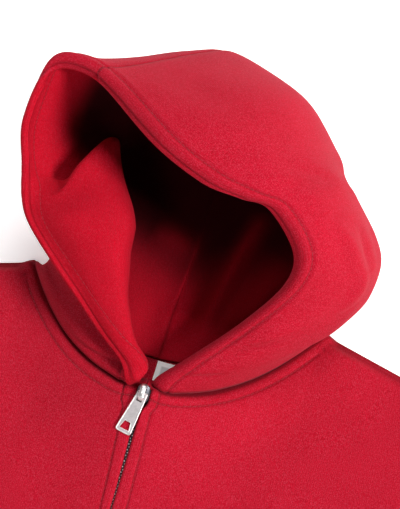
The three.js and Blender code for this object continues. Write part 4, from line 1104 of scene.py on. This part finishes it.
def clothMaterial(name, deep, bright, seam, pitch, bumpHigh, fuzz=1.0, sheen=0.06, fibreGlint=0.5):
    shader = Shader(name, roughness=0.9, sheen_weight=sheen, sheen_roughness=0.45,
                    sheen_tint=napAndPaintedLight["sheen"], specular_ior_level=0.1)
    # the third mark: above 0 painted shade along the seams, below 0 painted shade deep in the hood
    x, y, seamDepth = shader.clothMarks()
    place = shader.node("TexCoord", output="Object")
    wander = shader.noise(place, napAndPaintedLight["wander"], 2)
    loops = (x * (2 * math.pi / (pitch * mm)) + wander * 5).math("SINE")
    courses = (y * (2 * math.pi / (pitch * 0.8 * mm)) + wander * 4).math("SINE")
    knit = loops * 0.5 + courses * 0.35
    grain = shader.noise(place, napAndPaintedLight["grain"], 2)
    ends = shader.noise(place, napAndPaintedLight["ends"], 1)
    tufts = shader.noise(place, napAndPaintedLight["tufts"], 2)
    broad = shader.noise(place, napAndPaintedLight["broad"], 3)
    fine = (grain - 0.5) * 2.0 * fuzz + (tufts - 0.5) * 0.4 * fuzz
    colour = shader.mix(fine + (broad - 0.5) * 0.5 + knit * 0.25 + 0.5, deep, bright)
    colour = shader.mix(shader.ramp(ends, 0.48, 0.66) * fibreGlint, colour, napAndPaintedLight["fibreGlint"])  # painted highlights on the fibre ends
    # painted shade along the seam grooves
    colour = shader.mix(seamDepth * 0.55, colour, seam)
    # painted shade deep inside the hood
    colour = shader.mix(seamDepth * -0.92, colour, napAndPaintedLight["shade"])
    shader.set("Base Color", colour)
    shader.set("Roughness", shader.ramp(grain + tufts, 0.4, 1.6) * 0.2 + 0.78)
    shader.bump(knit * 0.5 + grain * 1.2 + tufts * 0.4, bumpHigh * mm)
    return shader.material


def metalMaterial(name, colour, rough, spots):
    shader = Shader(name, metallic=1.0, roughness=rough)
    place = shader.node("TexCoord", output="Object")
    fine = shader.noise(place, 2600, 3, 0.6)
    patches = shader.noise(place, 320, 3)
    dull = tuple(c * 0.55 for c in colour[:3]) + (1,)
    shader.set("Base Color", shader.mix(shader.ramp(patches, 0.42, 0.72) * spots, colour, dull))
    shader.set("Roughness", shader.ramp(fine + patches, 0.7, 1.4) * 0.16 + (rough - 0.05))
    shader.bump(fine, 0.02 * mm)
    return shader.material


def threadMaterial(name, deep, bright):
    shader = Shader(name, roughness=0.7, sheen_weight=0.2, sheen_roughness=0.4, specular_ior_level=0.3)
    place = shader.node("TexCoord", output="Object")
    shader.set("Base Color", shader.mix(shader.noise(place, 900, 2), deep, bright))
    shader.set("Roughness", shader.noise(place, 1400, 2) * 0.3 + 0.55)
    return shader.material


def labelMaterial():
    shader = Shader("label_ribbon", roughness=0.6, specular_ior_level=0.3)
    x, _, panel = shader.clothMarks()
    weave = (x * (2 * math.pi / (0.5 * mm))).math("SINE") * 0.5 + 0.5
    place = shader.node("TexCoord", output="Object")
    tone = shader.mix(shader.noise(place, 700, 3), (0.90, 0.90, 0.89, 1), (0.97, 0.96, 0.96, 1))
    grey = shader.mix(shader.noise(place, 900, 3), (0.50, 0.50, 0.51, 1), (0.62, 0.62, 0.63, 1))
    shader.set("Base Color", shader.mix(panel, tone, grey))
    shader.set("Roughness", shader.noise(place, 500, 2) * 0.3 + 0.45)
    shader.bump(weave, 0.03 * mm)
    return shader.material


# each seam colour is painted shade, laid along the seam grooves and where one piece goes under another
red = {"deep": (0.27, 0.0002, 0.006, 1), "bright": (0.46, 0.003, 0.020, 1),
       "seam": (0.14, 0.0005, 0.004, 1)}
ribRed = {"deep": (0.23, 0.0005, 0.007, 1), "bright": (0.43, 0.003, 0.021, 1),
          "seam": (0.12, 0.0005, 0.004, 1)}
liningRed = {"deep": (0.28, 0.0001, 0.005, 1), "bright": (0.48, 0.0006, 0.014, 1),
             "seam": (0.14, 0.0003, 0.003, 1)}
tapeBlack = {"deep": (0.006, 0.004, 0.005, 1), "bright": (0.022, 0.010, 0.012, 1),
             "seam": (0.003, 0.001, 0.002, 1)}
paints = {
    "fleece": clothMaterial("red_fleece_cloth", pitch=1.15, bumpHigh=0.16, **red),
    "rib": clothMaterial("red_rib_cloth", pitch=0.9, bumpHigh=0.12, fuzz=0.8, fibreGlint=0.35, **ribRed),
    "lining": clothMaterial("red_lining_cloth", pitch=1.0, bumpHigh=0.12, fuzz=0.8, sheen=0.01, fibreGlint=0.25,
                            **liningRed),
    "tape": clothMaterial("zip_tape_weave", pitch=0.6, bumpHigh=0.08, fibreGlint=0.02, **tapeBlack),
    "thread": threadMaterial("red_thread", (0.20, 0.001, 0.008, 1), (0.34, 0.004, 0.018, 1)),
    "tab": metalMaterial("tab_steel", (0.80, 0.74, 0.75, 1), 0.52, 0.5),
    "rim": metalMaterial("tab_rim_steel", (0.84, 0.81, 0.80, 1), 0.38, 0.3),
    "sliderBody": metalMaterial("slider_dark_steel", (0.16, 0.16, 0.18, 1), 0.34, 0.5),
    "teeth": metalMaterial("dark_teeth", (0.035, 0.035, 0.04, 1), 0.45, 0.5),
    # painted highlights on the zip teeth
    "glints": metalMaterial("tooth_glint_steel", (0.62, 0.62, 0.64, 1), 0.4, 0.4),
    "label": labelMaterial(),
}
print("materials")


def dressed(piece, key, node=None):  # its paint, and the solid that it stands for
    piece.data.materials.clear()
    piece.data.materials.append(paints[key])
    if node:
        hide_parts(node)


# Camera, floor and light

view = {"at": (112.2, -314.2, 808.0), "azimuth": 14.5, "elevation": 62, "roll": 1.0, "lens": 103.65}


def setCamera():
    a, e, r = (math.radians(view[key]) for key in ("azimuth", "elevation", "roll"))
    back = Vector((math.sin(a) * math.cos(e), -math.cos(a) * math.cos(e), math.sin(e)))
    right = Vector((math.cos(a), math.sin(a), 0))
    up = back.cross(right)
    rolled = right * math.cos(r) + up * math.sin(r)
    rolledUp = -right * math.sin(r) + up * math.cos(r)
    turn = Matrix((rolled, rolledUp, back)).transposed().to_4x4()
    data = bpy.data.cameras.new("camera")
    data.lens, data.sensor_width, data.clip_start = view["lens"], 36, 0.05
    camera = bpy.data.objects.new("camera", data)
    bpy.context.scene.collection.objects.link(camera)
    camera.matrix_world = Matrix.Translation(Vector(view["at"]) * mm) @ turn
    bpy.context.scene.camera = camera


stageLook = {"floor": {"size": 60, "glow": 0.42, "tones": (0.93, 0.96), "patches": 3, "rough": 0.85},
             "backdrop": {"radius": 9, "height": 4, "glow": 0.28, "tones": (0.90, 0.94), "patches": 2,
                          "rough": 0.9},
             "sky": 0.03}
lights = [{"name": "key", "at": (5.6, -1.6, 5.2), "size": 2.0, "power": 700},
          {"name": "fill", "at": (0.0, 1.7, 3.4), "size": 1.2, "power": 66},
          {"name": "front", "at": (-0.4, -2.6, 3.0), "size": 0.8, "power": 20}]


def addLight(name, at, size, power):
    data = bpy.data.lights.new(name, "AREA")
    data.size, data.energy = size, power
    lamp = bpy.data.objects.new(name, data)
    bpy.context.scene.collection.objects.link(lamp)
    lamp.location = at
    lamp.rotation_euler = (-Vector(at)).to_track_quat("-Z", "Y").to_euler()


def staged(name):  # the primitive just added, in its pale paper
    piece, look = bpy.context.object, stageLook[name]
    piece.name = name
    shader = Shader("pale_" + name, roughness=look["rough"], specular_ior_level=0.1,
                    emission_color=(1, 1, 1, 1), emission_strength=look["glow"])
    place = shader.node("TexCoord", output="Object")
    grey, pale = ((tone, tone, tone, 1) for tone in look["tones"])
    shader.set("Base Color", shader.mix(shader.noise(place, look["patches"], 2), grey, pale))
    piece.data.materials.append(shader.material)


def setStage():
    bpy.ops.mesh.primitive_plane_add(size=stageLook["floor"]["size"], location=(0, 0, 0))
    staged("floor")
    high = stageLook["backdrop"]["height"]
    bpy.ops.mesh.primitive_cylinder_add(vertices=96, radius=stageLook["backdrop"]["radius"], depth=high,
                                        end_fill_type="NOTHING", location=(0, 0, high / 2))
    bpy.context.object.data.flip_normals()
    staged("backdrop")
    world = bpy.data.worlds.new("studio")
    bpy.context.scene.world = world
    world.use_nodes = True
    world.node_tree.nodes["Background"].inputs[0].default_value = (1, 1, 1, 1)
    world.node_tree.nodes["Background"].inputs[1].default_value = stageLook["sky"]
    for light in lights:
        addLight(**light)
    bpy.context.scene.view_settings.view_transform = "Standard"


setCamera()
setStage()
print("camera and stage")

sides = ("left", "right")
fronts, frontLines = {}, []
for name in sides:
    fronts[name], lines = frontPanel(name)
    frontLines += lines
backPiece = backPanel()
halves = hoodHalves()
shells = {name: hoodShell(name, halves[name]) for name in sides}
linings = {name: hoodLining(name, halves[name]) for name in sides}
roll = edgeRoll(halves)
sleeves = {name: sleeveTube(name) for name in sides}
cuffs = {name: cuffTube(name) for name in sides}
waistPiece = waistbandStrip()
teeth = zipTeeth()
tapes = {name: zipTape(name) for name in sides}
# painted highlights along the zip teeth
glints = toothGlintDots()
sliderSeat, tabSeat = seats()
sliderBodyPiece, sliderBar = sliderPieces(sliderSeat)
tabPlate, tabRim, windowRim = tabPieces(tabSeat)
ribbon = labelRibbon()
print("cloth and metal")

hoodLines = []
for half in halves.values():
    for surface, ways in ((half["outside"], half["normals"]), (half["inside"], -half["normals"])):
        edge = half["edge"]
        if half is halves["right"]:
            surface, ways, edge = surface[:, ::-1], ways[:, ::-1], edge[:, ::-1]
        hoodLines.append(lineOn(surface, ways, edge, hoodLook["bandWidth"], 0, None))
thread = stitches("topstitching", frontLines + hoodLines)

for name in sides:
    dressed(fronts[name], "fleece", f"front_{name}")
    dressed(shells[name], "fleece", f"hood_{name}")
    dressed(linings[name], "lining", f"hood_lining_{name}")
    dressed(sleeves[name], "fleece", f"sleeve_{name}")
    dressed(cuffs[name], "rib", f"cuff_{name}")
    dressed(tapes[name], "tape", f"zip_tape_{name}")
dressed(backPiece, "fleece", "back")
dressed(waistPiece, "rib", "waistband")
dressed(roll, "lining")
dressed(thread, "thread")
dressed(teeth, "teeth", "zip_chain")
dressed(glints, "glints")
dressed(sliderBodyPiece, "sliderBody", "slider")
dressed(sliderBar, "rim")
dressed(tabPlate, "tab", "pull_tab")
dressed(tabRim, "rim")
dressed(windowRim, "rim")
dressed(ribbon, "label", "label")
print("paints")


print("done")
